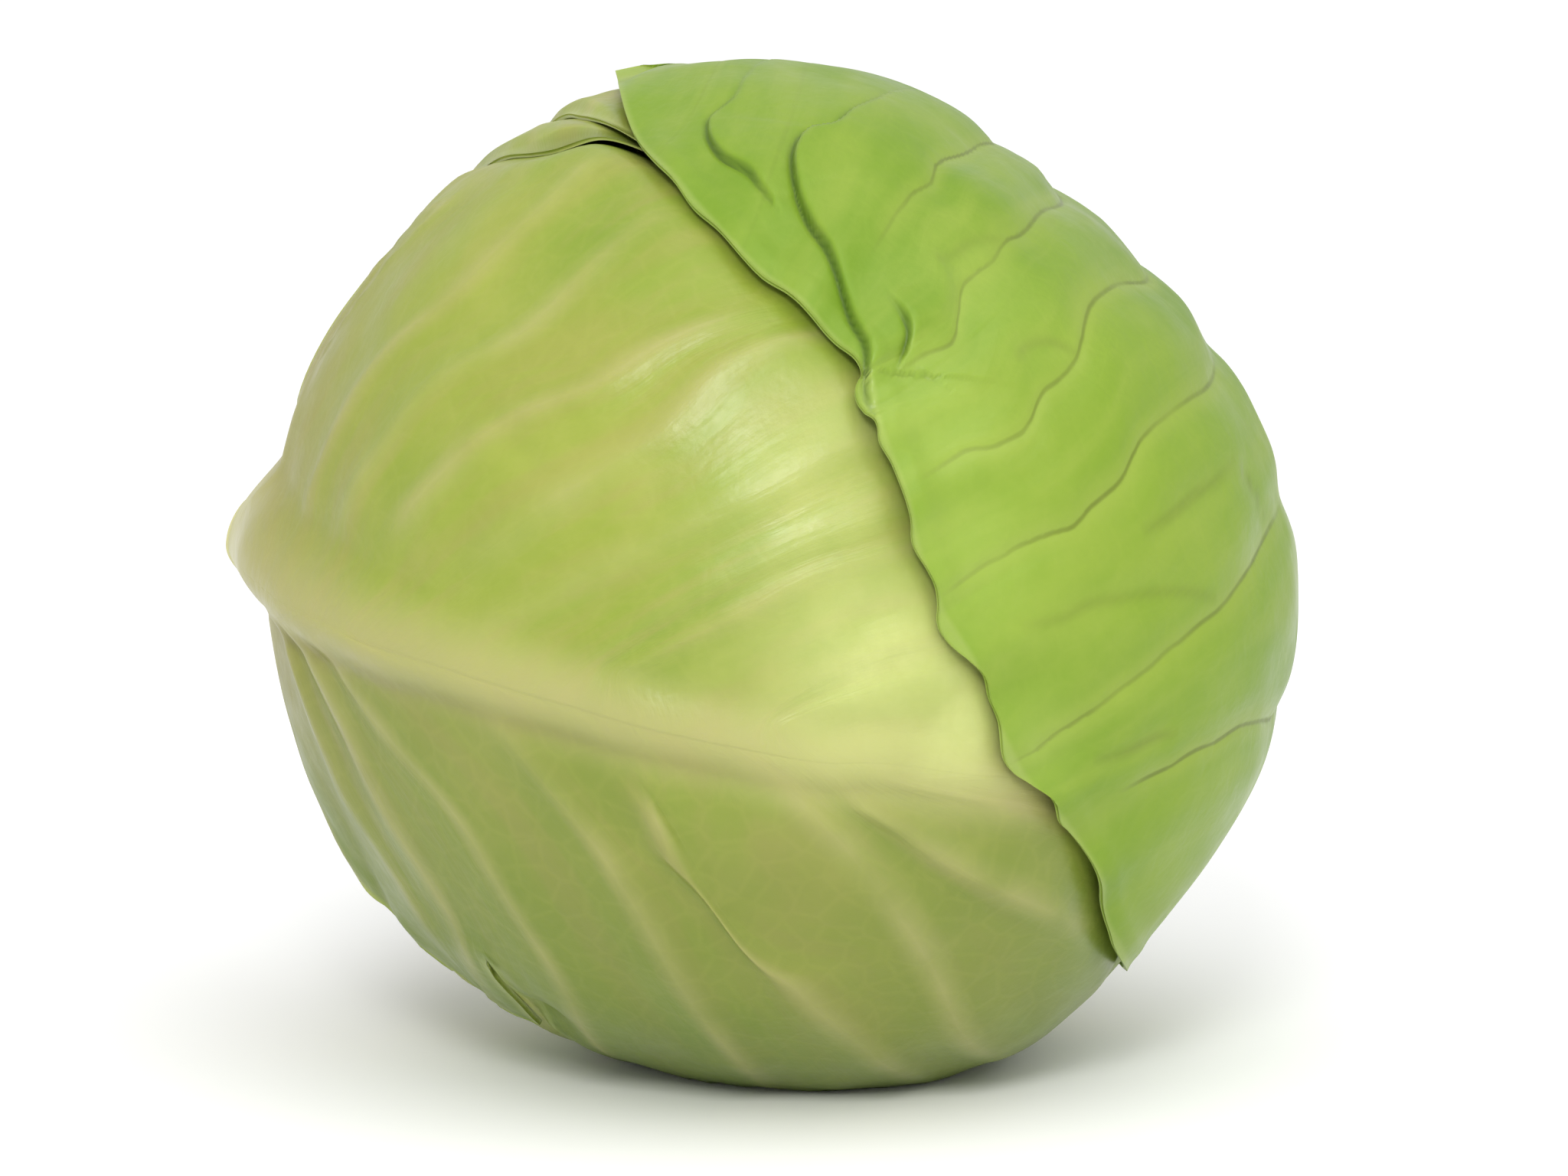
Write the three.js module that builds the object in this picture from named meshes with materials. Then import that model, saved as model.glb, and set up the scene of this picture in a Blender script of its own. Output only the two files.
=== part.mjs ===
// A head of white cabbage, lying on its side.
//
// Millimetres, +Z up. The origin is the middle of the small flat spot that the head rests on.
// The head's own axis lies along X: the cut stem faces -X and the crown, where the leaves close, faces +X.
//
// The head is a dense ball of folded inner leaves on a stem, wrapped in five loose outer leaves.
// Each outer leaf is lofted across its side veins, which run from the midrib to the margin.
// Where one leaf lies over another, the lower one is pressed in and the upper one's margin stands proud.

import * as THREE from "three";
import { mergeVertices } from "three/addons/utils/BufferGeometryUtils.js";

// Driving dimensions of the head.
const HEAD_RADIUS = 83.8;
const CENTRE_HEIGHT = 81;

// Where the head is fuller or flatter than a ball, as a viewer sees it: the way there from its middle,
// the share of its radius that is added, and how many degrees that spreads over.
const SWELLS = [
  { toward: [0.68, 0.72, 0.1], share: -0.09, spread: 34 },
  { toward: [0.42, -0.9, 0.1], share: 0.04, spread: 28 },
  { toward: [-0.74, 0.67, 0], share: -0.022, spread: 16 },
  { toward: [0.76, -0.65, 0], share: -0.028, spread: 12 },
];

// The leaves as a stack, and how far inside a margin the stack takes to settle.
const LAYER_PITCH = 3;
const SETTLE = 7;
const BLADE = 0.9;
const STEM_CROWDING = { extra: 0.3, spread: 22 };
const FLOOR_SPACING = 1.3;
const COVERED_LIFT = 0.3;
const COVERED_RELIEF = 0.1;
const HEART_CLEARANCE = 3.2;

// How far a leaf's margin curls in towards the layer below, and how wide the curl is.
const MARGIN_CURL = { drop: 0.9, reach: 2.4 };

// How far inside its margin a leaf that hugs the one below loses its own relief.
const HUG_REACH = 12;

// The stem stub, and the ring round it where the leaves start.
const STEM_RADIUS = 13;
const STEM_FACE = 83;
const STEM_SEAT = 73;
const STEM_GAP = 0.4;
const STEM_SHAPE = {
  seatShare: 0.86,
  bevelShare: 0.94,
  bevel: 1.2,
  domeShare: 0.5,
  shoulder: 0.4,
  dome: 0.5,
};
const BASE_ANGLE = 9.4;

// Positions are read as a viewer sees them: millimetres right of and above the middle of the head.
const VIEWER = { azimuth: 12, elevation: 8, distance: 1000 };
const NEAR = 1;
const FAR = -1;

const DEGREE = Math.PI / 180;
const centre = new THREE.Vector3(0, 0, CENTRE_HEIGHT);
const stemWay = new THREE.Vector3(-1, 0, 0);

const azimuth = VIEWER.azimuth * DEGREE;
const elevation = VIEWER.elevation * DEGREE;
const toward = new THREE.Vector3(
  Math.sin(azimuth) * Math.cos(elevation),
  -Math.cos(azimuth) * Math.cos(elevation),
  Math.sin(elevation),
);
const rightward = new THREE.Vector3(Math.cos(azimuth), Math.sin(azimuth), 0);
const upward = rightward.clone().cross(toward).negate();

const bell = (x) => Math.exp(-x * x);
const clamp = (x, low = 0, high = 1) => Math.min(high, Math.max(low, x));
const smooth = (x) => clamp(x) ** 2 * (3 - 2 * clamp(x));

function fromViewer(x, y, z) {
  return new THREE.Vector3()
    .addScaledVector(rightward, x)
    .addScaledVector(upward, y)
    .addScaledVector(toward, z)
    .normalize();
}

// The head's form under the leaves' own relief.
const swells = SWELLS.map(({ toward: way, ...size }) => ({ middle: fromViewer(...way), ...size }));
const slit = { middle: null, depth: 2.4, spread: 5 };

function headRadius(direction) {
  const swell = swells.reduce(
    (sum, { middle, share, spread }) =>
      sum + share * bell(direction.angleTo(middle) / (spread * DEGREE)),
    1,
  );
  const pinch = slit.middle
    ? slit.depth * bell((direction.angleTo(slit.middle) * HEAD_RADIUS) / slit.spread)
    : 0;
  return HEAD_RADIUS * swell - pinch;
}

// The direction from the middle of the head to what the viewer sees at x, y, or to the place behind it.
function onHead([x, y, side = NEAR]) {
  const { distance } = VIEWER;
  const reach = x * x + y * y + distance * distance;
  let radius = HEAD_RADIUS;
  let direction;
  for (let step = 0; step < 8; step++) {
    const inside = Math.max(0, distance ** 4 - reach * (distance ** 2 - radius ** 2));
    const along = (distance ** 2 - side * Math.sqrt(inside)) / reach;
    direction = fromViewer(x * along, y * along, distance * (1 - along));
    radius = headRadius(direction);
  }
  return direction;
}

slit.middle = onHead([-39, -73]);

// A direction on the ring round the stem: 0 degrees faces the viewer and 90 faces up.
function roundStem(turn, angle = BASE_ANGLE) {
  const out = Math.sin(angle * DEGREE);
  return new THREE.Vector3(
    -Math.cos(angle * DEGREE),
    -Math.cos(turn * DEGREE) * out,
    Math.sin(turn * DEGREE) * out,
  );
}

// The ribs of each outer leaf, from its base to its tip. A rib is [root on the midrib, one side, other side],
// and a side is [where it ends] or [halfway, where it ends]. The first rib is the base, the last one the tip.
const FRONT_RIBS = [
  [[-84, 1.5], [[-81.5, 19.5], [-63, 54, FAR]], [[-83, -14.5], [-76.5, -34, FAR]]],
  [[-82.5, -1.5], [[-75, 29], [-38, 74]], [[-79, -24], [-66, -53]]],
  [[-80, -4.5], [[-66, 35], [-22, 77]], [[-75, -29], [-58, -61]]],
  [[-76, -7], [[-56, 32], [-9, 67]], [[-69, -31], [-48, -73]]],
  [[-71, -9.5], [[-42, 26], [4, 48]], [[-59, -34], [-36, -78]]],
  [[-66, -12], [[-27, 20], [20, 40]], [[-44, -40], [-20, -79, FAR]]],
  [[-55, -15.5], [[-18, 6], [32, 29]], [[-28, -47], [-2, -78, FAR]]],
  [[-38, -21], [[-8, -0.5], [38, 16]], [[-15, -52], [14, -76, FAR]]],
  [[-25, -25], [[0, -5], [44, 6]], [[-3, -62], [28, -75, FAR]]],
  [[-8, -29], [[14, -14], [48, -6]], [[17, -54], [46, -66, FAR]]],
  [[6, -31.5], [[25, -22], [52, -18]], [[31, -48], [60, -56, FAR]]],
  [[22, -32.5], [[38, -28], [55, -26]], [[43, -41], [64, -47]]],
  [[62, -35], [[61, -32], [59, -30]], [[64, -38], [65, -41]]],
];

const CROWN_RIBS = [
  [[-62, 24, FAR], [[-38, 58, FAR]], [[-58, 0, FAR]]],
  [[-45, 37, FAR], [[-18, 79, FAR]], [[-45, -5, FAR]]],
  [[-33, 45, FAR], [[-19, 79, FAR], [-22.5, 81, FAR]], [[-30, -7, FAR]]],
  [[-24, 50, FAR], [[-18, 80, FAR], [-26.5, 78.5]], [[-16, -8, FAR]]],
  [[-16, 53, FAR], [[-13, 83], [-24.5, 70.5]], [[-6, -9, FAR]]],
  [[-8, 56, FAR], [[-7, 82], [-17, 62]], [[5, -10, FAR]]],
  [[0, 57, FAR], [[3, 80], [-7, 50.5]], [[13, -11, FAR]]],
  [[8, 58, FAR], [[15, 76], [1, 44]], [[20, -12, FAR]]],
  [[16, 58, FAR], [[27, 67], [8, 37]], [[28, -14, FAR]]],
  [[25, 56, FAR], [[37, 55], [13, 30.5]], [[35, -17, FAR]]],
  [[33, 53, FAR], [[44, 47], [14.5, 23]], [[41, -20, FAR]]],
  [[40, 50, FAR], [[50, 39.5], [18, 14]], [[45, -24, FAR]]],
  [[47, 45, FAR], [[55, 29], [21, 3]], [[48, -28, FAR]]],
  [[54, 40, FAR], [[58, 17.5], [25, -6.5]], [[51, -32, FAR]]],
  [[61, 31, FAR], [[64, 4], [30, -15]], [[53, -36, FAR]]],
  [[67, 22, FAR], [[67, -10], [34.5, -26]], [[55, -41, FAR]]],
  [[71, 10, FAR], [[71, -19], [39, -34.5]], [[57, -45, FAR]]],
  [[75, -2, FAR], [[72, -29], [46, -42.5]], [[58, -49, FAR]]],
  [[77, -14, FAR], [[70, -38], [50.5, -50]], [[60, -52, FAR]]],
  [[76, -28, FAR], [[67, -48], [52.5, -59]], [[61, -54, FAR]]],
  [[66, -55, FAR], [[62, -61], [56, -66]], [[63, -57, FAR]]],
];

const BACK_RIBS = [
  [[-78, -10, FAR], [[-70, 8, FAR], [-78, 22, FAR]], [[-76, -30, FAR]]],
  [[-68, -13, FAR], [[-62, 16, FAR], [-70, 38, FAR]], [[-62, -46, FAR]]],
  [[-56, -16, FAR], [[-50, 26, FAR], [-63, 51, FAR]], [[-46, -57, FAR]]],
  [[-40, -18, FAR], [[-38, 36, FAR], [-51, 65.5]], [[-26, -64, FAR]]],
  [[-22, -19, FAR], [[-22, 46, FAR], [-41, 69]], [[-4, -67, FAR]]],
  [[-4, -18, FAR], [[-6, 52, FAR], [-31, 71.6]], [[18, -65, FAR]]],
  [[15, -15, FAR], [[10, 54, FAR], [-10, 74]], [[38, -57, FAR]]],
  [[35, -10, FAR], [[26, 42, FAR], [16, 72, FAR]], [[52, -45, FAR]]],
  [[50, 8, FAR], [[44, 30, FAR]], [[60, -22, FAR]]],
];

const TOP_RIBS = [
  [[-71, 27, FAR], [[-72, 35, FAR]], [[-64, 12, FAR]]],
  [[-58, 42, FAR], [[-58, 51, FAR]], [[-46, 22, FAR]]],
  [[-42, 58, FAR], [[-45, 66, FAR]], [[-24, 36, FAR]]],
  [[-26, 73, FAR], [[-38.5, 76]], [[-4, 52, FAR]]],
  [[-14, 82, FAR], [[-33, 75]], [[14, 62, FAR]]],
  [[0, 83], [[-22, 70.5]], [[28, 68, FAR]]],
  [[6, 74], [[-6, 64]], [[20, 70]]],
];

const UNDER_RIBS = [
  [[-76, -26, FAR], [[-80, -24]], [[-76, -4, FAR]]],
  [[-60, -42, FAR], [[-60, -54]], [[-58, 0, FAR]]],
  [[-40, -55, FAR], [[-42, -62]], [[-36, 0, FAR]]],
  [[-16, -64, FAR], [[-20, -67]], [[-12, -3, FAR]]],
  [[10, -66, FAR], [[6, -67]], [[14, -7, FAR]]],
  [[34, -60, FAR], [[34, -62]], [[36, -12, FAR]]],
  [[54, -46, FAR], [[54, -50]], [[54, -16, FAR]]],
  [[68, -28, FAR], [[70, -38]], [[64, -16, FAR]]],
];

// The outer leaves from the innermost to the outermost. A base is where the midrib and the two sides
// leave the stem, as turns round it. The crown leaf's veins are sunk into it, and the others' are raised.
const every = (count) => Array.from({ length: count }, (_, i) => i + 1);

const LEAVES = [
  {
    name: "under_leaf",
    ribs: UNDER_RIBS,
    base: [256, 318, 200],
    veins: every(8),
    fold: 0.3,
    slack: 1,
    rowsPerRib: 2,
    columns: 8,
    stalk: [7, 7],
    stalkHeight: 4,
  },
  {
    name: "front_leaf",
    ribs: FRONT_RIBS,
    base: [14, 86, -64],
    veins: every(13),
    fold: 1.4,
    rowsPerRib: 3,
    columns: 10,
    stalk: [20, 14],
    stalkHeight: 8.6,
    notch: { at: 4.95, halfWidth: 0.14, depth: 0.13 },
  },
  {
    name: "back_leaf",
    ribs: BACK_RIBS,
    base: [222, 96, 268],
    veins: every(9),
    fold: 1.2,
    rowsPerRib: 3,
    columns: 9,
    stalk: [10, 8],
    stalkHeight: 4.5,
    hug: 0.8,
  },
  {
    name: "top_leaf",
    ribs: TOP_RIBS,
    base: [108, 74, 146],
    veins: every(7),
    fold: 0.8,
    rowsPerRib: 3,
    columns: 7,
    stalk: [7, 7],
    stalkHeight: 4,
    hug: 0.8,
  },
  {
    name: "crown_leaf",
    ribs: CROWN_RIBS,
    base: [150, 122, 184],
    veins: [1, 2.5, 4, 5.5, 7, 9, 10, 12, 14, 16, 18, 20],
    fold: 1.4,
    sunk: true,
    flare: { place: [17, 14], spread: 15, lift: 2.2 },
    rowsPerRib: 2,
    columns: 12,
    stalk: [11, 8],
    stalkHeight: 5.5,
  },
];

// The midrib stands out of the leaf most at its base, where it is a thick stalk with a width on either side.
// The powers say how soon it narrows and lowers along the leaf, and how round it is across.
const MIDRIB = { endHeight: 0.5, endWidth: 5, narrowing: 0.6, lowering: 0.5, roundness: 2 };

// The folds along the side veins fade by a share of their depth on the way to the wavy margin.
// They start a little off the midrib.
const FOLD_FADE = 0.5;
const FOLD_START = { offMidrib: 1.5, reach: 9 };
const RAISED_POWER = 1.5;
const SUNK_POWER = 3;
const MARGIN_WAVE = { height: 0.6, power: 4 };

// A notch cuts only into the outer part of a leaf, by this power of the way to its margin.
const NOTCH_POWER = 6;
const NOTCH_ROWS = [-1.5, -0.7, 0, 0.7, 1.5];

// Pleats in the crown leaf, where its blade folds over itself. The side to the right of each line is on top.
const PLEATS = [
  { line: [[-2, 83], [-7, 78], [-12, 73], [-10, 68], [-2, 60]], over: 1.6, under: 0.7 },
  { line: [[20, 77.5], [10, 73], [3, 69.5], [3, 60], [9, 48], [13.7, 32]], over: 2.4, under: 0.8 },
];
const PLEAT_REACH = { over: 12, under: 5 };

// A rib with no stated middle bows towards the stem by this share of its length.
const RIB_BOW = 0.12;

// The direction curves of a leaf, as splines over its ribs.
function spline(points) {
  return new THREE.CatmullRomCurve3(points, false, "catmullrom", 0.5);
}

function halfway(root, end) {
  return root.clone().add(end).addScaledVector(stemWay, RIB_BOW * root.distanceTo(end)).normalize();
}

function leafCurves({ ribs, base, notch }) {
  const [rootTurn, ...sideTurns] = base;
  const roots = [roundStem(rootTurn)];
  const sides = sideTurns.map((turn) => ({
    mids: [roundStem((rootTurn + turn) / 2)],
    ends: [roundStem(turn)],
  }));
  for (const [root, ...both] of ribs) {
    const start = onHead(root);
    roots.push(start);
    both.forEach((places, index) => {
      const end = onHead(places.at(-1));
      const mid = places.length > 1 ? onHead(places[0]) : halfway(start, end);
      sides[index].mids.push(mid);
      sides[index].ends.push(end);
    });
  }
  return {
    count: roots.length,
    roots: spline(roots),
    sides: sides.map(({ mids, ends }) => ({ mids: spline(mids), ends: spline(ends) })),
    notch,
  };
}

// The place on a leaf at rib number s, and t from -1 at one margin, through 0 on the midrib, to 1.
function leafPlace(curves, s, t) {
  const u = s / (curves.count - 1);
  const root = curves.roots.getPoint(u).normalize();
  const { mids, ends } = curves.sides[t < 0 ? 0 : 1];
  const { notch } = curves;
  const cut = notch && t > 0 ? notch.depth * bell((s - notch.at) / notch.halfWidth) : 0;
  const x = Math.abs(t) * (1 - cut * Math.abs(t) ** NOTCH_POWER);
  const direction = new THREE.Vector3()
    .addScaledVector(root, (1 - x) * (1 - 2 * x))
    .addScaledVector(mids.getPoint(u).normalize(), 4 * x * (1 - x))
    .addScaledVector(ends.getPoint(u).normalize(), x * (2 * x - 1))
    .normalize();
  return { direction, root };
}

// A leaf's margin, flattened round the leaf's own middle, to tell how far inside it a direction lies.
// It closes through the middle of the stem, because the base is joined there. Places right behind the head's
// middle from the leaf can't be flattened, and lie outside it.
const BEHIND = 0.02;

function leafMargin(curves) {
  const last = curves.count - 1;
  const edge = [];
  for (let s = 0; s < last; s += 0.2) edge.push(leafPlace(curves, s, -1).direction);
  for (let t = -1; t < 1; t += 0.2) edge.push(leafPlace(curves, last, t).direction);
  for (let s = last; s > 0; s -= 0.2) edge.push(leafPlace(curves, s, 1).direction);
  edge.push(leafPlace(curves, 0, 1).direction, stemWay);
  const middle = new THREE.Vector3();
  for (let s = 0.5; s < last; s += 0.5) {
    for (let t = -0.8; t < 1; t += 0.4) middle.add(leafPlace(curves, s, t).direction);
  }
  middle.normalize();
  const east = new THREE.Vector3(0.3, 0.2, 1).cross(middle).normalize();
  const north = middle.clone().cross(east);
  const flatten = (d) => {
    const facing = 1 + d.dot(middle);
    const scale = 2 / Math.max(BEHIND, facing);
    return { u: d.dot(east) * scale, v: d.dot(north) * scale, scale, behind: facing < BEHIND };
  };
  return { flatten, edge: edge.map(flatten) };
}

// Millimetres from a direction to a leaf's margin: positive inside the leaf and negative outside.
function insideBy(margin, direction) {
  const point = margin.flatten(direction);
  if (point.behind) return -HEAD_RADIUS;
  let nearest = Infinity;
  let inside = false;
  margin.edge.forEach((a, index) => {
    const b = margin.edge[(index + 1) % margin.edge.length];
    const [du, dv] = [b.u - a.u, b.v - a.v];
    const along = clamp(((point.u - a.u) * du + (point.v - a.v) * dv) / (du * du + dv * dv || 1));
    nearest = Math.min(nearest, Math.hypot(a.u + du * along - point.u, a.v + dv * along - point.v));
    const crosses = a.v > point.v !== b.v > point.v;
    if (crosses && point.u < a.u + ((point.v - a.v) / (b.v - a.v)) * du) inside = !inside;
  });
  const size = (nearest / point.scale) * HEAD_RADIUS;
  return inside ? size : -size;
}

const settled = (mm) => smooth((mm + SETTLE) / (2 * SETTLE));
const flattened = (mm) => smooth((mm + SETTLE) / SETTLE);

for (const leaf of LEAVES) {
  leaf.curves = leafCurves(leaf);
  leaf.margin = leafMargin(leaf.curves);
}

// How the leaves above a leaf press it in, and how far they cover it, from 0 to 1.
function pressedBy(leavesAbove, direction) {
  const inside = leavesAbove.map(({ margin }) => insideBy(margin, direction));
  const layers = inside.reduce((sum, mm) => sum + settled(mm), 0);
  const fromStem = direction.angleTo(stemWay) / (STEM_CROWDING.spread * DEGREE);
  const pitch = LAYER_PITCH * (1 + STEM_CROWDING.extra * bell(fromStem));
  return { depth: pitch * layers, covered: flattened(Math.max(-Infinity, ...inside)) };
}

// How far a pleat lifts or sinks the blade beside its line.
const pleats = PLEATS.map(({ line, ...sizes }) => ({
  points: spline(line.map(onHead)).getPoints(24).map((p) => p.normalize()),
  ...sizes,
}));

function pleatHeight(direction) {
  return pleats.reduce((sum, { points, over, under }) => {
    let nearest = { mm: Infinity, side: 1, share: 0 };
    for (let i = 0; i + 1 < points.length; i++) {
      const mm = direction.angleTo(points[i]) * HEAD_RADIUS;
      if (mm < nearest.mm) {
        const ahead = points[i + 1].clone().sub(points[i]);
        const side = ahead.cross(direction.clone().sub(points[i])).dot(direction);
        nearest = { mm, side, share: i / (points.length - 1) };
      }
    }
    const ends = Math.sin(Math.PI * clamp(nearest.share, 0.06, 0.94)) ** 0.5;
    const lift = over * Math.exp(-nearest.mm / PLEAT_REACH.over);
    const sink = -under * Math.exp(-nearest.mm / PLEAT_REACH.under);
    return sum + ends * (nearest.side > 0 ? lift : sink);
  }, 0);
}

// How near a place is to a vein: 1 on it and 0 midway between two.
function veinShare(veins, s) {
  const next = veins.findIndex((vein) => vein > s);
  if (next < 0) return 1;
  const before = next > 0 ? veins[next - 1] : 0;
  return Math.abs((2 * (s - before)) / (veins[next] - before) - 1);
}

// A stretch of margin that stands off the leaf below it.
function flareLift({ flare, margin }, direction) {
  if (!flare) return 0;
  const away = direction.angleTo(onHead(flare.place)) * HEAD_RADIUS;
  return flare.lift * bell(away / flare.spread) * bell(insideBy(margin, direction) / SETTLE);
}

// The relief of a leaf's outer face: what the whole blade follows, and the ridge that only thickens it.
function relief(leaf, s, t, place) {
  const progress = s / (leaf.curves.count - 1);
  const share = veinShare(leaf.veins, s);
  const folded = leaf.sunk ? 1 - share ** SUNK_POWER : share ** RAISED_POWER;
  const fromMidrib = place.direction.angleTo(place.root) * HEAD_RADIUS;
  const started = smooth((fromMidrib - FOLD_START.offMidrib) / FOLD_START.reach);
  const fold = leaf.fold * folded * (1 - FOLD_FADE * Math.abs(t)) * started * smooth(s);
  const alongMargin = 1 + Math.sin((Math.PI / 2) * leaf.rowsPerRib * s);
  const wave = MARGIN_WAVE.height * Math.abs(t) ** MARGIN_WAVE.power * alongMargin;
  const stalkWidth = leaf.stalk[t < 0 ? 0 : 1];
  const width = THREE.MathUtils.lerp(stalkWidth, MIDRIB.endWidth, progress ** MIDRIB.narrowing);
  const height = THREE.MathUtils.lerp(leaf.stalkHeight, MIDRIB.endHeight, progress ** MIDRIB.lowering);
  const ridge = height * (1 - clamp(fromMidrib / width) ** 2) ** MIDRIB.roundness;
  const pleat = leaf.name === "crown_leaf" ? pleatHeight(place.direction) : 0;
  return { bend: fold + wave + pleat + flareLift(leaf, place.direction), ridge };
}

// A point at a height over the head's form, kept off the plane that its layer rests on.
function headPoint(direction, height, layerFloor) {
  const point = direction.clone().multiplyScalar(headRadius(direction) + height).add(centre);
  point.z = Math.max(point.z, layerFloor);
  return point;
}

// Two like sheets of a grid, closed round their edge into one solid.
function closedSheet(outer, inner, rows, columns) {
  const at = (sheet, row, column) => sheet * rows * columns + row * columns + column;
  const index = [];
  const quad = (a, b, c, d) => index.push(a, b, c, a, c, d);
  for (let row = 0; row + 1 < rows; row++) {
    for (let column = 0; column + 1 < columns; column++) {
      const corners = [[row, column], [row + 1, column], [row + 1, column + 1], [row, column + 1]];
      quad(...corners.map(([r, c]) => at(0, r, c)));
      const [a, b, c, d] = corners.map(([r, k]) => at(1, r, k));
      index.push(a, c, b, a, d, c);
    }
  }
  const rim = [];
  for (let column = 0; column + 1 < columns; column++) rim.push([0, column]);
  for (let row = 0; row + 1 < rows; row++) rim.push([row, columns - 1]);
  for (let column = columns - 1; column > 0; column--) rim.push([rows - 1, column]);
  for (let row = rows - 1; row > 0; row--) rim.push([row, 0]);
  rim.forEach(([row, column], i) => {
    const [nextRow, nextColumn] = rim[(i + 1) % rim.length];
    quad(at(0, row, column), at(0, nextRow, nextColumn), at(1, nextRow, nextColumn), at(1, row, column));
  });
  const geometry = new THREE.BufferGeometry().setFromPoints([...outer, ...inner]);
  geometry.setIndex(index);
  return facingOut(geometry);
}

// Turns every face round if the solid is inside out, by the sign of its volume.
function facingOut(geometry) {
  const { position } = geometry.attributes;
  const corner = (i) => new THREE.Vector3().fromBufferAttribute(position, geometry.index.getX(i));
  let volume = 0;
  for (let i = 0; i < geometry.index.count; i += 3) {
    volume += corner(i).dot(corner(i + 1).cross(corner(i + 2)));
  }
  if (volume < 0) geometry.setIndex([...geometry.index.array].reverse());
  geometry.computeVertexNormals();
  return geometry;
}

// The rib numbers of a leaf's rows: even ones, with more on both sides of a notch.
function leafRows({ curves, rowsPerRib, notch }) {
  const rows = [];
  for (let row = 0; row <= (curves.count - 1) * rowsPerRib; row++) rows.push(row / rowsPerRib);
  if (!notch) return rows;
  const { at, halfWidth } = notch;
  const apart = rows.filter((s) => Math.abs(s - at) > (NOTCH_ROWS.at(-1) + 0.1) * halfWidth);
  return [...apart, ...NOTCH_ROWS.map((step) => at + step * halfWidth)].sort((a, b) => a - b);
}

function leafGeometry(leaf) {
  const above = LEAVES.slice(LEAVES.indexOf(leaf) + 1);
  const rowNumbers = leafRows(leaf);
  const rows = rowNumbers.length;
  const columns = 2 * leaf.columns + 1;
  const outer = [];
  const inner = [];
  for (let row = 0; row < rows; row++) {
    for (let column = 0; column < columns; column++) {
      const s = rowNumbers[row];
      const across = column / leaf.columns - 1;
      const t = (across + Math.sign(across) * Math.sin((Math.PI / 2) * Math.abs(across)) ** 2) / 2;
      const place = leafPlace(leaf.curves, s, t);
      const { depth, covered } = pressedBy(above, place.direction);
      const { bend, ridge } = relief(leaf, s, t, place);
      const own = insideBy(leaf.margin, place.direction);
      const proud = LAYER_PITCH * (1 - settled(own));
      const lift = proud * (1 - covered * (1 - COVERED_LIFT));
      const curl = MARGIN_CURL.drop * (1 - smooth(own / MARGIN_CURL.reach)) * smooth(s) * (1 - covered);
      const level = lift - curl - depth - (leaf.slack ?? 0);
      const flat = 1 - covered * (1 - COVERED_RELIEF);
      const loose = 1 - (leaf.hug ?? 0) * (1 - smooth(own / HUG_REACH));
      const body = level + bend * loose * flat;
      const floor = FLOOR_SPACING * depth;
      outer.push(headPoint(place.direction, body + ridge * flat, floor));
      inner.push(headPoint(place.direction, body - BLADE, floor + BLADE));
    }
  }
  return closedSheet(outer, inner, rows, columns);
}

// The dense head of folded leaves that the outer leaves close round, seated flat on the stem.
const HEART_DETAIL = 8;
const HEART_LAP = { steps: 3, height: 1.1, lean: 1.2 };

function heartGeometry() {
  const ball = new THREE.IcosahedronGeometry(1, HEART_DETAIL);
  ball.deleteAttribute("normal");
  ball.deleteAttribute("uv");
  const geometry = mergeVertices(ball, 1e-5);
  const { position } = geometry.attributes;
  const direction = new THREE.Vector3();
  for (let i = 0; i < position.count; i++) {
    direction.fromBufferAttribute(position, i).normalize();
    const { depth } = pressedBy(LEAVES, direction);
    const turn = Math.atan2(direction.z, -direction.y) / (2 * Math.PI) + HEART_LAP.lean * direction.x;
    const lap = HEART_LAP.height * (((turn * HEART_LAP.steps) % 1) + 1) % 1;
    const floor = FLOOR_SPACING * depth + HEART_CLEARANCE;
    const point = headPoint(direction, -depth - HEART_CLEARANCE - lap, floor);
    point.x = Math.max(point.x, -STEM_SEAT);
    position.setXYZ(i, point.x, point.y, point.z);
  }
  return facingOut(geometry);
}

// The stem stub: a turned stalk from its seat in the head out to the slightly domed cut.
function stemGeometry() {
  const { seatShare, bevelShare, bevel, domeShare, shoulder, dome } = STEM_SHAPE;
  const profile = [
    [0, -STEM_SEAT - STEM_GAP],
    [STEM_RADIUS * seatShare, -STEM_SEAT - STEM_GAP],
    [STEM_RADIUS, -STEM_FACE + bevel],
    [STEM_RADIUS * bevelShare, -STEM_FACE],
    [STEM_RADIUS * domeShare, -STEM_FACE - shoulder],
    [0, -STEM_FACE - dome],
  ];
  const points = profile.map(([radius, along]) => new THREE.Vector2(radius, along));
  const geometry = new THREE.LatheGeometry(points, 28);
  geometry.deleteAttribute("normal");
  geometry.deleteAttribute("uv");
  const merged = mergeVertices(geometry, 1e-4);
  merged.rotateZ(-Math.PI / 2);
  merged.translate(centre.x, centre.y, centre.z);
  return facingOut(merged);
}

function material(color, roughness) {
  return new THREE.MeshStandardMaterial({ color, roughness, metalness: 0 });
}

const COLOURS = {
  under_leaf: 0x8fae4a,
  front_leaf: 0xa9b860,
  back_leaf: 0x9db857,
  top_leaf: 0xa3b75c,
  crown_leaf: 0x93bb4c,
};

const cabbage = new THREE.Group();

function addPart(name, geometry, surface) {
  const mesh = new THREE.Mesh(geometry, surface);
  mesh.name = name;
  cabbage.add(mesh);
}

for (const leaf of LEAVES) addPart(leaf.name, leafGeometry(leaf), material(COLOURS[leaf.name], 0.42));
addPart("heart", heartGeometry(), material(0xd6dd9a, 0.5));
addPart("stem", stemGeometry(), material(0xd9d3ae, 0.7));

export default cabbage;
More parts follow.
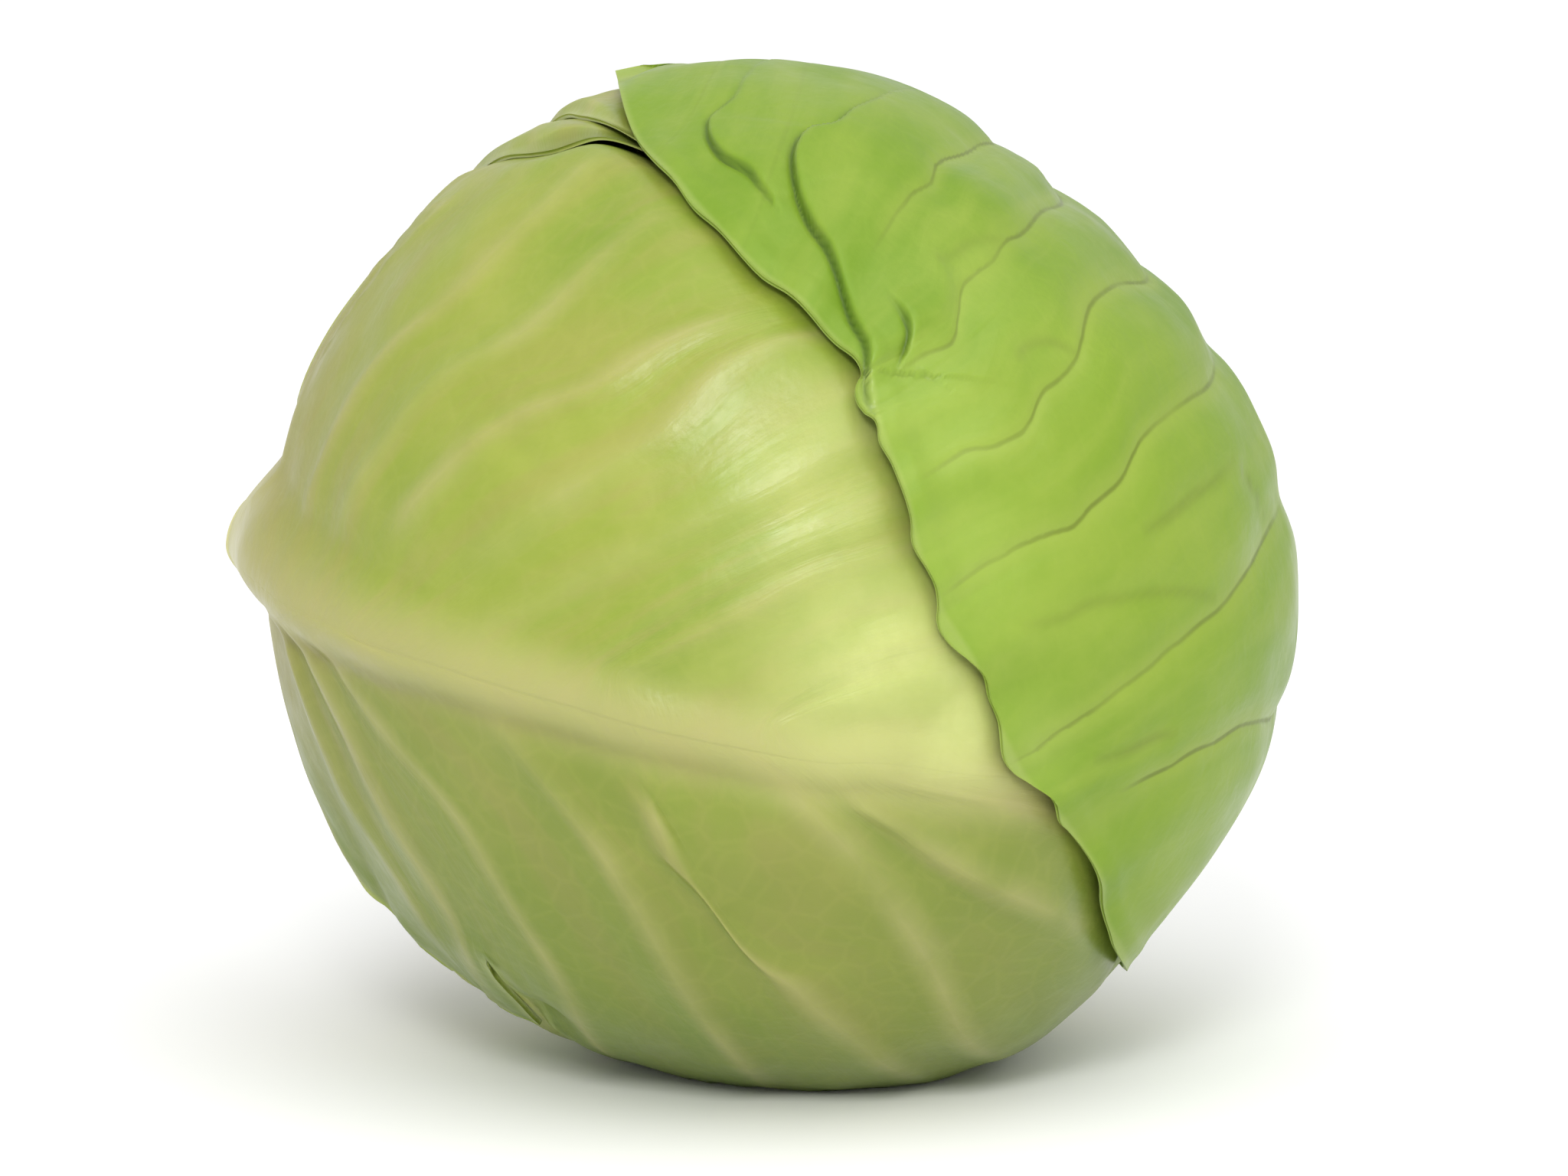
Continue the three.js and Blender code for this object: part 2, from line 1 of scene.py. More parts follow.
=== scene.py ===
"""A head of white cabbage, lying on its side on a pale floor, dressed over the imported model.

The geometry below is worked out in millimetres and written out in metres. The head's leaves follow the same
formulas as the solids, on a finer grid and with the veins, pleats and creases that the photograph shows.
"""

import math

import bpy
import numpy as np
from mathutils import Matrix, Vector


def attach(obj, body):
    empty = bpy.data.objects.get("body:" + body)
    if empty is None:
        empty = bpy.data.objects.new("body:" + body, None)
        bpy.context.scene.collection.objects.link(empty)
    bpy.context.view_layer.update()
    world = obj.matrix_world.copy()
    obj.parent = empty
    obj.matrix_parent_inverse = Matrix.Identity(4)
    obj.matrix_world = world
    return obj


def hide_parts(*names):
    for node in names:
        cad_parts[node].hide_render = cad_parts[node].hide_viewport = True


# The head's form, as in the part's source.
HEAD_RADIUS = 83.8
CENTRE = np.array([0.0, 0.0, 81.0])
VIEW_AZIMUTH = math.radians(12)
VIEW_ELEVATION = math.radians(8)
VIEW_DISTANCE = 1000.0
SWELLS = [
    ((0.68, 0.72, 0.1), -0.09, 34),
    ((0.42, -0.9, 0.1), 0.04, 28),
    ((-0.74, 0.67, 0), -0.022, 16),
    ((0.76, -0.65, 0), -0.028, 12),
]
LAYER_PITCH = 3.0
SETTLE = 7.0
BLADE = 0.9
STEM_CROWDING = (0.3, 22)
FLOOR_SPACING = 1.3
COVERED_LIFT = 0.3
COVERED_RELIEF = 0.1
HEART_CLEARANCE = 3.2
BASE_ANGLE = math.radians(9.4)
STEM_RADIUS = 13.0
STEM_FACE = 83.0
STEM_SEAT = 73.0
STEM_GAP = 0.4
RIB_BOW = 0.12
STEM_WAY = np.array([-1.0, 0.0, 0.0])
CURL, CURL_REACH = 0.9, 4.0
BEHIND = 0.02
NOTCH_AT, NOTCH_HALF_WIDTH, NOTCH_DEPTH, NOTCH_POWER = 4.95, 0.17, 0.18, 6
NOTCH_FILL, NOTCH_FILL_REACH = 1.3, 7
SLIT_DEPTH, SLIT_REACH = 2.4, 5
SCALLOP, SCALLOPS_PER_RIB, SCALLOPS_AT, SCALLOPS_REACH = 0.011, 2.2, 3.1, 1.1
FLARE_PLACE, FLARE_SPREAD, FLARE_LIFT = (17, 14), 15, 2.2
MARGIN_PULL_REACH = 4
MIDRIB_END_HEIGHT, MIDRIB_END_WIDTH = 0.5, 5.0
MIDRIB_NARROWING, MIDRIB_LOWERING, MIDRIB_ROUNDNESS = 0.6, 0.5, 2

# The relief between and on the side veins, in millimetres.
FOLD_FADE, FOLD_START, FOLD_START_REACH = 0.5, 1.5, 9
PUFF_REACH = 5.0
GROOVE_DEPTH, GROOVE_WIDTH = 0.45, 0.8
VEIN_HEIGHT, VEIN_WIDTH, VEIN_ROOT_WIDENING = 0.45, 2.2, 1.8
UPPER_SIDE_FOLD = 0.45
ROLL_POWER, ROLL_LEAST = 1.3, 0.35
BROAD_SWELL, BROAD_SWELL_SIZE = 0.8, 26
FINE_SWELL, FINE_SWELL_SIZE, FINE_SWELL_SHIFT = 0.3, 10, 3.3
WAVE, WAVE_POWER, WAVES_PER_RIB = 0.55, 4, 0.75
SMALL_VEIN_WIDTH, SMALL_VEIN_HOLLOW, SMALL_VEIN_REACH = 0.9, 0.5, 3
HUG_REACH, HUG_CURL = 12, 1.8
NOTCH_CALM, NOTCH_CALM_REACH = 0.8, 1.2
LIP_THICKNESS, LIP_START, LIP_END, LIP_FADE = 1.2, 1.5, 2, 5
MARGIN_BLADE_SHARE, CURL_THICKNESS = 0.6, 0.4
# Where the painted shade along the midrib's foot lies, as a share of the midrib's width, and how wide it is.
FOOT_AT, FOOT_WIDTH = 0.8, 1.8

# Places are given as the viewer sees them, in millimetres right of and above the middle of the head.
NEAR, FAR = 1, -1

TOWARD = np.array(
    [
        math.sin(VIEW_AZIMUTH) * math.cos(VIEW_ELEVATION),
        -math.cos(VIEW_AZIMUTH) * math.cos(VIEW_ELEVATION),
        math.sin(VIEW_ELEVATION),
    ]
)
RIGHTWARD = np.array([math.cos(VIEW_AZIMUTH), math.sin(VIEW_AZIMUTH), 0.0])
UPWARD = -np.cross(RIGHTWARD, TOWARD)


def smooth(x):
    x = np.clip(x, 0, 1)
    return x * x * (3 - 2 * x)


def bell(x):
    return np.exp(-np.square(x))


def unit(v):
    return v / np.linalg.norm(v, axis=-1, keepdims=True)


def from_viewer(x, y, z):
    return unit(x * RIGHTWARD + y * UPWARD + z * TOWARD)


def angle_to(directions, way):
    return np.arccos(np.clip(directions @ way, -1, 1))


def mm_from(directions, way):
    return angle_to(directions, way) * HEAD_RADIUS


def head_radius(directions, slit=None):
    """The head's radius in those directions, pinched in at the slit if one is given."""
    swell = 1.0
    for way, share, spread in SWELLS:
        swell = swell + share * bell(angle_to(directions, from_viewer(*way)) / math.radians(spread))
    pinch = 0.0
    if slit is not None:
        pinch = SLIT_DEPTH * bell(mm_from(directions, slit) / SLIT_REACH)
    return HEAD_RADIUS * swell - pinch


def on_head(x, y, side=NEAR):
    """The direction from the middle of the head to what the viewer sees at x, y, in millimetres."""
    reach = x * x + y * y + VIEW_DISTANCE**2
    radius = HEAD_RADIUS
    for _ in range(8):
        inside = max(0.0, VIEW_DISTANCE**4 - reach * (VIEW_DISTANCE**2 - radius**2))
        along = (VIEW_DISTANCE**2 - side * math.sqrt(inside)) / reach
        direction = from_viewer(x * along, y * along, VIEW_DISTANCE * (1 - along))
        radius = float(head_radius(direction))
    return direction


# The direction to the slit under the front leaf's notch.
SLIT = on_head(-39, -73)


def round_stem(turn):
    """The direction to where a leaf leaves the stem, at a turn in degrees round the head's axis."""
    turn = math.radians(turn)
    out = math.sin(BASE_ANGLE)
    return np.array([-math.cos(BASE_ANGLE), -math.cos(turn) * out, math.sin(turn) * out])


FRONT_RIBS = [
    [(-84, 1.5), [(-81.5, 19.5), (-63, 54, FAR)], [(-83, -14.5), (-76.5, -34, FAR)]],
    [(-82.5, -1.5), [(-75, 29), (-38, 74)], [(-79, -24), (-66, -53)]],
    [(-80, -4.5), [(-66, 35), (-22, 77)], [(-75, -29), (-58, -61)]],
    [(-76, -7), [(-56, 32), (-9, 67)], [(-69, -31), (-48, -73)]],
    [(-71, -9.5), [(-42, 26), (4, 48)], [(-59, -34), (-36, -78)]],
    [(-66, -12), [(-27, 20), (20, 40)], [(-44, -40), (-20, -79, FAR)]],
    [(-55, -15.5), [(-18, 6), (32, 29)], [(-28, -47), (-2, -78, FAR)]],
    [(-38, -21), [(-8, -0.5), (38, 16)], [(-15, -52), (14, -76, FAR)]],
    [(-25, -25), [(0, -5), (44, 6)], [(-3, -62), (28, -75, FAR)]],
    [(-8, -29), [(14, -14), (48, -6)], [(17, -54), (46, -66, FAR)]],
    [(6, -31.5), [(25, -22), (52, -18)], [(31, -48), (60, -56, FAR)]],
    [(22, -32.5), [(38, -28), (55, -26)], [(43, -41), (64, -47)]],
    [(62, -35), [(61, -32), (59, -30)], [(64, -38), (65, -41)]],
]

CROWN_RIBS = [
    [(-62, 24, FAR), [(-38, 58, FAR)], [(-58, 0, FAR)]],
    [(-45, 37, FAR), [(-18, 79, FAR)], [(-45, -5, FAR)]],
    [(-33, 45, FAR), [(-19, 79, FAR), (-22.5, 81, FAR)], [(-30, -7, FAR)]],
    [(-24, 50, FAR), [(-18, 80, FAR), (-26.5, 78.5)], [(-16, -8, FAR)]],
    [(-16, 53, FAR), [(-13, 83), (-24.5, 70.5)], [(-6, -9, FAR)]],
    [(-8, 56, FAR), [(-7, 82), (-17, 62)], [(5, -10, FAR)]],
    [(0, 57, FAR), [(3, 80), (-7, 50.5)], [(13, -11, FAR)]],
    [(8, 58, FAR), [(15, 76), (1, 44)], [(20, -12, FAR)]],
    [(16, 58, FAR), [(27, 67), (8, 37)], [(28, -14, FAR)]],
    [(25, 56, FAR), [(37, 55), (13, 30.5)], [(35, -17, FAR)]],
    [(33, 53, FAR), [(44, 47), (14.5, 23)], [(41, -20, FAR)]],
    [(40, 50, FAR), [(50, 39.5), (18, 14)], [(45, -24, FAR)]],
    [(47, 45, FAR), [(55, 29), (21, 3)], [(48, -28, FAR)]],
    [(54, 40, FAR), [(58, 17.5), (25, -6.5)], [(51, -32, FAR)]],
    [(61, 31, FAR), [(64, 4), (30, -15)], [(53, -36, FAR)]],
    [(67, 22, FAR), [(67, -10), (34.5, -26)], [(55, -41, FAR)]],
    [(71, 10, FAR), [(71, -19), (39, -34.5)], [(57, -45, FAR)]],
    [(75, -2, FAR), [(72, -29), (46, -42.5)], [(58, -49, FAR)]],
    [(77, -14, FAR), [(70, -38), (50.5, -50)], [(60, -52, FAR)]],
    [(76, -28, FAR), [(67, -48), (52.5, -59)], [(61, -54, FAR)]],
    [(66, -55, FAR), [(62, -61), (56, -66)], [(63, -57, FAR)]],
]

BACK_RIBS = [
    [(-78, -10, FAR), [(-70, 8, FAR), (-78, 22, FAR)], [(-76, -30, FAR)]],
    [(-68, -13, FAR), [(-62, 16, FAR), (-70, 38, FAR)], [(-62, -46, FAR)]],
    [(-56, -16, FAR), [(-50, 26, FAR), (-63, 51, FAR)], [(-46, -57, FAR)]],
    [(-40, -18, FAR), [(-38, 36, FAR), (-51, 65.5)], [(-26, -64, FAR)]],
    [(-22, -19, FAR), [(-22, 46, FAR), (-41, 69)], [(-4, -67, FAR)]],
    [(-4, -18, FAR), [(-6, 52, FAR), (-31, 71.6)], [(18, -65, FAR)]],
    [(15, -15, FAR), [(10, 54, FAR), (-10, 74)], [(38, -57, FAR)]],
    [(35, -10, FAR), [(26, 42, FAR), (16, 72, FAR)], [(52, -45, FAR)]],
    [(50, 8, FAR), [(44, 30, FAR)], [(60, -22, FAR)]],
]

TOP_RIBS = [
    [(-71, 27, FAR), [(-72, 35, FAR)], [(-64, 12, FAR)]],
    [(-58, 42, FAR), [(-58, 51, FAR)], [(-46, 22, FAR)]],
    [(-42, 58, FAR), [(-45, 66, FAR)], [(-24, 36, FAR)]],
    [(-26, 73, FAR), [(-38.5, 76)], [(-4, 52, FAR)]],
    [(-14, 82, FAR), [(-33, 75)], [(14, 62, FAR)]],
    [(0, 83), [(-22, 70.5)], [(28, 68, FAR)]],
    [(6, 74), [(-6, 64)], [(20, 70)]],
]

UNDER_RIBS = [
    [(-76, -26, FAR), [(-80, -24)], [(-76, -4, FAR)]],
    [(-60, -42, FAR), [(-60, -54)], [(-58, 0, FAR)]],
    [(-40, -55, FAR), [(-42, -62)], [(-36, 0, FAR)]],
    [(-16, -64, FAR), [(-20, -67)], [(-12, -3, FAR)]],
    [(10, -66, FAR), [(6, -67)], [(14, -7, FAR)]],
    [(34, -60, FAR), [(34, -62)], [(36, -12, FAR)]],
    [(54, -46, FAR), [(54, -50)], [(54, -16, FAR)]],
    [(68, -28, FAR), [(70, -38)], [(64, -16, FAR)]],
]

# Veins as the photograph shows them, each at its rib number. A rib with no path here keeps its own line.
FRONT_UPPER_VEINS = {
    2: [(-84, 12), (-82, 17), (-79, 28), (-76, 36), (-70, 46), (-65, 51), (-55, 58), (-46, 64), (-38, 66)],
    3: [(-77, 14), (-68, 33), (-60, 40), (-52, 46), (-46, 53), (-38, 60), (-33, 66)],
    4: [(-70, 14), (-60, 28), (-50, 35), (-42, 39), (-36, 45), (-28, 53)],
    5: [(-60, 12), (-45, 25), (-30, 30), (-25, 34), (-15, 39)],
    6: [(-46, 6), (-22, 21), (-15, 28), (-10, 33), (0, 37)],
    7: [(-46, -8), (-20, 5), (-4, 13), (11, 21)],
    8: None,
    9: [(-26, -16), (-5, -6), (6, -1), (19, 3)],
    10: None,
    11: [(0, -25), (12, -21), (26, -17)],
}
FRONT_LOWER_VEINS = {
    2: [(-84, -8), (-83, -15), (-80.5, -25), (-77, -35), (-71, -46), (-66, -53)],
    3: [(-82, -8), (-79, -18), (-76, -27), (-72, -36), (-66, -46), (-60, -55)],
    4: [(-80, -9), (-76, -17), (-71, -28), (-66, -38), (-59, -50), (-53, -60), (-47, -70)],
    5: [
        (-75, -12), (-69, -22), (-62, -31), (-55, -38), (-50, -46), (-44, -56), (-38, -64), (-34, -71),
        (-31, -77),
    ],
    7: [(-45, -27), (-38, -36), (-30, -45), (-24, -55), (-18, -65), (-13, -73), (-8, -79)],
    9: [(-20, -42), (-15, -52), (-8, -60), (0, -66), (5, -71), (12, -77), (17, -81)],
    10: [(0, -35), (10, -45), (18, -55), (25, -67), (28, -75), (31, -78)],
    11: [(15, -40), (30, -49), (36, -52), (45, -56)],
    12: [(20, -35), (35, -38), (43, -40)],
}
CROWN_SEEN_VEINS = {
    1: None,
    2.5: None,
    4: None,
    5.5: None,
    7: None,
    9: [(35, 70), (30, 69), (26, 67), (24, 65), (24.5, 63.5), (21, 61.5), (18, 57.5)],
    10: [
        (46, 60.5), (42, 59), (39, 55), (36, 54), (35, 51.5), (32, 49), (29, 46.5), (28.5, 43), (28, 40),
        (27, 36.5), (23, 35),
    ],
    12: [
        (60, 47), (56, 47.5), (53, 46), (50, 43.5), (49, 39), (48, 35), (46, 32), (42, 29), (41, 26),
        (39, 22.5), (35, 20.5), (29, 19.5),
    ],
    14: [
        (70, 30), (66, 28), (63, 25.5), (59, 22), (57, 18.5), (56, 15.5), (53, 12.5), (50, 10), (48, 7),
        (44, 6), (39, 4), (32, 0),
    ],
    16: [(79, 5), (75, -2), (72, -6), (68, -9), (62, -14), (55, -19.5), (50, -23.5), (46, -26), (42, -29)],
    18: [(80.5, -24), (76, -25.5), (71, -28), (66, -30.5), (60, -34)],
}

# Veins that the photograph hardly shows, by leaf, side and rib number.
FAINT = {("crown_leaf", 0, number): 0.15 for number in (1, 2.5, 4, 5.5, 7)}
FAINT |= {("front_leaf", 0, number): 0.3 for number in (8, 10, 11)}
FAINT |= {("front_leaf", 0, number): 0.6 for number in (7, 9)}

# The crown leaf's margin as the photograph shows it, from its corner at the top to its tip.
CROWN_MARGIN = [
    (-17, 82.3), (-22, 82.2), (-25.5, 81.5), (-26.8, 79.5), (-26.5, 77), (-25.5, 73), (-24, 70), (-21, 66),
    (-18, 63), (-15, 59), (-11, 55.5), (-7, 50.5), (-4, 47.5), (0, 45), (4, 41), (8, 37), (11, 34),
    (12.3, 31.6), (11.5, 29.8), (11.3, 28), (12.2, 25.6), (14, 24), (14.6, 22.5), (15, 20), (17, 17),
    (18.5, 13), (20, 8), (20.5, 4), (23, 0), (24.5, -3), (25, -6), (25, -9.5), (27, -12.5), (30, -15),
    (32.5, -17.5), (33.5, -21), (35, -25), (35.2, -30), (37, -33), (40, -35), (43.5, -37.5), (44.5, -41),
    (46, -42.5), (48.5, -45.5), (50.3, -49), (51.5, -54), (52.5, -58.5), (53.5, -62), (55.5, -65.5),
]

# Pleats of the crown leaf: the line, how far its right side is lifted and its left side sunk, for how far,
# and how strong the pleat is at even steps along its line.
PLEATS = [
    (
        [
            (-1, 83.5), (-6, 80), (-8, 77), (-12, 74), (-12.5, 72), (-12, 70), (-10, 67.5), (-6, 65),
            (-4, 62.5), (-2, 60),
        ],
        1.2, 0.5, 6, 3, (0.1, 0.3, 0.8, 1.0, 0.9, 0.5),
    ),
    (
        [
            (24, 77), (20, 77.5), (15, 76), (11, 74), (8, 71.5), (3.5, 70.5), (1.5, 67), (2, 62), (4, 57),
            (7, 52), (9, 47), (11, 41), (13, 36), (13.3, 31.7),
        ],
        1.5, 0.6, 7, 3, (0.1, 0.3, 0.9, 1.0, 1.0, 1.0, 1.0, 0.9),
    ),
    (
        [(17, 44), (19, 41), (20, 38), (19.5, 35), (19, 34)],
        1.1, 0.5, 4, 3, (0.2, 1, 1, 0.6),
    ),
    (
        [(12.9, 31), (13.2, 29), (13.5, 27), (14.2, 25)],
        0.8, 0.4, 3, 2, (0.6, 1, 1, 0.5),
    ),
]
PLEAT_STEP, PLEAT_END_FADE = 0.9, 3
PLEAT_GROOVE, PLEAT_GROOVE_ABOVE, PLEAT_GROOVE_BELOW = 0.8, 0.25, 0.35
# Where the painted shade of a fold lies beside the pleat line, how wide and how dark it is.
CREASE_SHIFT, CREASE_WIDTH, CREASE_WIDENING, CREASE_DARKNESS, CREASE_POWER = 0.3, 0.3, 0.15, 0.8, 1.5

# Paler places of the two big leaves, partly paler leaf and partly painted sheen where the light falls:
# where, how wide and how pale.
PALE_AND_SHEEN_PLACES = {
    "front_leaf": [((19, -16), 17, 1.0), ((4, 12), 15, 0.45), ((28, -26), 11, 0.9), ((10, 24), 9, 0.5)],
    "crown_leaf": [((22, 24), 12, 0.8), ((28, 2), 12, 0.7), ((34, 42), 12, 0.4), ((40, -30), 8, 0.5)],
}

# Short veins of the crown leaf that branch off the others.
SMALL_VEINS = [
    [(73.5, 18.5), (71, 15), (67, 12), (62, 8), (58, 6)],
    [(74, 17), (76, 14), (79, 8)],
    [(71, -5), (66, -3.8), (60, -4), (50, -5.7), (45, -8), (38, -9.5)],
    [(64, -26.5), (60, -27.5), (55, -30), (50, -31)],
    [(36, 54), (31, 53.5), (27, 51), (24, 50)],
    [(48, 35), (44, 37), (40, 36.5), (37, 34)],
]

# Dents in the front leaf: the line through each, its half width and its depth.
DENTS = [
    ([(-48, 26), (-46, 22), (-42, 18)], 2.4, 0.35),
    ([(13, -7.5), (20, -6.5)], 3.6, 0.9),
]


def spline(points, u):
    """A Catmull-Rom spline through points, at u from 0 to 1, the same as in the part's source."""
    points = np.asarray(points)
    last = len(points) - 1
    p = np.clip(u, 0, 1) * last
    i = np.minimum(p.astype(int), last - 1)
    w = (p - i)[:, None]
    ahead = np.vstack([points, 2 * points[-1] - points[-2]])
    behind = np.vstack([2 * points[0] - points[1], points])
    p0, p1, p2, p3 = behind[i], points[i], points[i + 1], ahead[np.minimum(i + 2, last + 1)]
    t0, t1 = 0.5 * (p2 - p0), 0.5 * (p3 - p1)
    return p1 + t0 * w + (3 * (p2 - p1) - 2 * t0 - t1) * w**2 + (2 * (p1 - p2) + t0 + t1) * w**3


def path_on_head(path, steps=160):
    return unit(spline([on_head(*place) for place in path], np.linspace(0, 1, steps)))


class Leaf:
    """A leaf on the head: its midrib's places, and each rib's middle and end on either side of it.

    base is where the midrib and the two margins leave the stem, in degrees. stalk is the midrib's half width
    on either side. fold is the height of the folds, slack lowers the leaf, and hug presses its margin down.
    """

    def __init__(
        self, name, ribs, base, stalk, stalk_height, rows, columns, fold, slack=0.0, sunk=False, hug=0.0
    ):
        self.name, self.stalk, self.stalk_height = name, stalk, stalk_height
        self.fold, self.slack, self.sunk, self.hug = fold, slack, sunk, hug
        self.rows, self.columns = rows, columns
        root_turn, *side_turns = base
        roots = [round_stem(root_turn)]
        sides = [([round_stem((root_turn + turn) / 2)], [round_stem(turn)]) for turn in side_turns]
        for root, *both in ribs:
            start = on_head(*root)
            roots.append(start)
            for (mids, ends), places in zip(sides, both):
                end = on_head(*places[-1])
                if len(places) > 1:
                    mid = on_head(*places[0])
                else:
                    mid = unit(start + end + STEM_WAY * RIB_BOW * np.linalg.norm(start - end))
                mids.append(mid)
                ends.append(end)
        self.roots, self.sides, self.last = roots, sides, len(roots) - 1
        self.margin = None
        self.close_margin()

    def place(self, s, x, side):
        """Directions on a grid of rib numbers s by shares x from the midrib to that side's margin."""
        u = np.asarray(s, float) / self.last
        root = unit(spline(self.roots, u))[:, None]
        mids, ends = self.sides[side]
        mid = unit(spline(mids, u))[:, None]
        end = unit(spline(ends, u))[:, None]
        if self.margin is not None:
            end = unit(self.fit_end(end[:, 0], side))[:, None]
        cut = np.zeros(len(u))
        if self.name == "front_leaf" and side == 1:
            ribs = np.asarray(s)
            scallops = np.sin(2 * np.pi * SCALLOPS_PER_RIB * ribs)
            scallops = scallops * bell((ribs - SCALLOPS_AT) / SCALLOPS_REACH)
            cut = NOTCH_DEPTH * bell((ribs - NOTCH_AT) / NOTCH_HALF_WIDTH) - SCALLOP * scallops
        x = np.asarray(x)[None, :, None]
        x = x * (1 - cut[:, None, None] * x**NOTCH_POWER)
        return unit(root * (1 - x) * (1 - 2 * x) + mid * 4 * x * (1 - x) + end * x * (2 * x - 1))

    def fit_end(self, ends, side):
        """Margin points drawn to the line that the photograph shows, for the crown leaf's visible side."""
        if self.name != "crown_leaf" or side != 0:
            return ends
        line = CROWN_LINE
        away = np.linalg.norm(ends[:, None] - line[None], axis=2)
        nearest = np.clip(away.argmin(1), 1, len(line) - 2)
        ahead = line[nearest + 1] - line[nearest - 1]
        along = ((ends - line[nearest]) * ahead).sum(1) / (ahead**2).sum(1)
        fitted = line[nearest] + np.clip(along, -0.5, 0.5)[:, None] * ahead
        pull = smooth(2 - away.min(1) * HEAD_RADIUS / MARGIN_PULL_REACH)[:, None]
        return ends + (fitted - ends) * pull

    def close_margin(self):
        s = np.arange(0, self.last, 0.1)
        top = self.place(s, [1.0], 0)[:, 0]
        bottom = self.place(s[::-1], [1.0], 1)[:, 0]
        tip = np.vstack(
            [
                self.place([self.last], np.linspace(1, 0, 8), 0)[0],
                self.place([self.last], np.linspace(0.1, 1, 8), 1)[0],
            ]
        )
        ribs, shares = np.arange(0.5, self.last, 0.5), [0.2, 0.5, 0.8]
        middle = unit(sum(self.place(ribs, shares, side).sum((0, 1)) for side in (0, 1)))
        east = unit(np.cross([0.3, 0.2, 1.0], middle))
        self.axes = (middle, east, np.cross(middle, east))
        edge = np.vstack([top, tip, bottom, [STEM_WAY]])
        self.margin = self.flatten(edge)[:2]

    def flatten(self, directions):
        middle, east, north = self.axes
        scale = 2 / np.maximum(BEHIND, 1 + directions @ middle)
        return directions @ east * scale, directions @ north * scale, scale

    def inside_by(self, directions):
        """Millimetres from directions to the margin: positive inside the leaf and negative outside."""
        flat = directions.reshape(-1, 3)
        out = np.empty(len(flat))
        au, av = self.margin
        bu, bv = np.roll(au, -1), np.roll(av, -1)
        du, dv = bu - au, bv - av
        length = np.maximum(du**2 + dv**2, 1e-12)
        rise = np.where(dv == 0, 1e-12, dv)
        for start in range(0, len(flat), 4000):
            u, v, scale = self.flatten(flat[start : start + 4000])
            u, v = u[:, None], v[:, None]
            along = np.clip(((u - au) * du + (v - av) * dv) / length, 0, 1)
            nearest = np.hypot(au + du * along - u, av + dv * along - v).min(1)
            crosses = ((av > v) != (bv > v)) & (u < au + (v - av) / rise * du)
            inside = crosses.sum(1) % 2 == 1
            mm = np.where(inside, 1, -1) * nearest / scale * HEAD_RADIUS
            out[start : start + 4000] = np.where(scale < 2 / BEHIND, mm, -HEAD_RADIUS)
        return out.reshape(directions.shape[:-1])


CROWN_LINE = path_on_head(CROWN_MARGIN, 900)


def settled(mm):
    return smooth((mm + SETTLE) / (2 * SETTLE))


def pressed_by(above, directions):
    """How deep the leaves above press a place in, and how far they cover it, from 0 to 1."""
    layers = np.zeros(directions.shape[:-1])
    deepest = np.full(directions.shape[:-1], -1e9)
    for leaf in above:
        mm = leaf.inside_by(directions)
        layers += settled(mm)
        deepest = np.maximum(deepest, mm)
    extra, spread = STEM_CROWDING
    pitch = LAYER_PITCH * (1 + extra * bell(angle_to(directions, STEM_WAY) / math.radians(spread)))
    return pitch * layers, smooth((deepest + SETTLE) / SETTLE)


LATTICE_SIZE = 24
LATTICE = np.random.default_rng(7).random((LATTICE_SIZE,) * 3)


def noise(points, size, shift=0.0):
    """Smooth noise from -1 to 1 over points in millimetres, with features of about that size."""
    p = points / size + 100 + shift
    i = np.floor(p).astype(int)
    w = smooth(p - i)
    total = 0
    for corner in np.ndindex(2, 2, 2):
        share = np.ones(points.shape[:-1])
        for axis in range(3):
            share = share * (w[..., axis] if corner[axis] else 1 - w[..., axis])
        index = (i + np.array(corner)) % LATTICE_SIZE
        total = total + share * LATTICE[index[..., 0], index[..., 1], index[..., 2]]
    return 2 * total - 1


def distance_to_path(directions, path):
    """Millimetres to a path, which side of it (positive to the right), and the share along it."""
    flat = directions.reshape(-1, 3)
    mm = np.empty(len(flat))
    side = np.empty(len(flat))
    share = np.empty(len(flat))
    ahead = np.gradient(path, axis=0)
    for start in range(0, len(flat), 8000):
        part = flat[start : start + 8000]
        near = (part @ path.T).argmax(1)
        offset = part - path[near]
        mm[start : start + 8000] = np.linalg.norm(offset, axis=1) * HEAD_RADIUS
        side[start : start + 8000] = (np.cross(ahead[near], offset) * part).sum(1)
        share[start : start + 8000] = near / (len(path) - 1)
    shape = directions.shape[:-1]
    return mm.reshape(shape), side.reshape(shape), share.reshape(shape)


def pleat_relief(directions):
    """The lift of the blade beside each pleat, and how strong the painted shade in its fold is at a place,
    from 0 to 1.
    """
    height = np.zeros(directions.shape[:-1])
    crease_shade = np.zeros(directions.shape[:-1])
    for path, over, under, over_reach, under_reach, strengths in PLEATS:
        mm, side, share = distance_to_path(directions, path_on_head(path, 400))
        strength = np.interp(share, np.linspace(0, 1, len(strengths)), strengths)
        past_end = ((share <= 0) | (share >= 1)) * mm
        strength = strength * bell(past_end / PLEAT_END_FADE)
        signed = mm * np.sign(side)
        step = smooth(signed / PLEAT_STEP + 0.5)
        groove = bell(signed / PLEAT_GROOVE)
        lift = over * np.exp(-mm / over_reach) * (1 + 0.5 * mm / over_reach)
        lift = lift - PLEAT_GROOVE_ABOVE * over * groove * step
        sink = -under * np.exp(-mm / under_reach) - PLEAT_GROOVE_BELOW * over * groove
        height += strength * (sink * (1 - step) + lift * step)
        # Painted shade in the fold beside the pleat line.
        dark = bell((signed + CREASE_SHIFT * PLEAT_STEP) / (CREASE_WIDTH + CREASE_WIDENING * over))
        dark = dark * np.minimum(1, CREASE_DARKNESS * over)
        crease_shade = np.maximum(crease_shade, strength**CREASE_POWER * dark)
    return height, crease_shade


# How a drawn vein is fitted to a leaf's grid. NO_VEIN is a reach that lies off the leaf.
VEIN_SMOOTHING = 7
VEIN_END_FADE = 0.12
LEAST_VEIN_GAP = 1e-4
NO_VEIN = (2.0, 3.0)


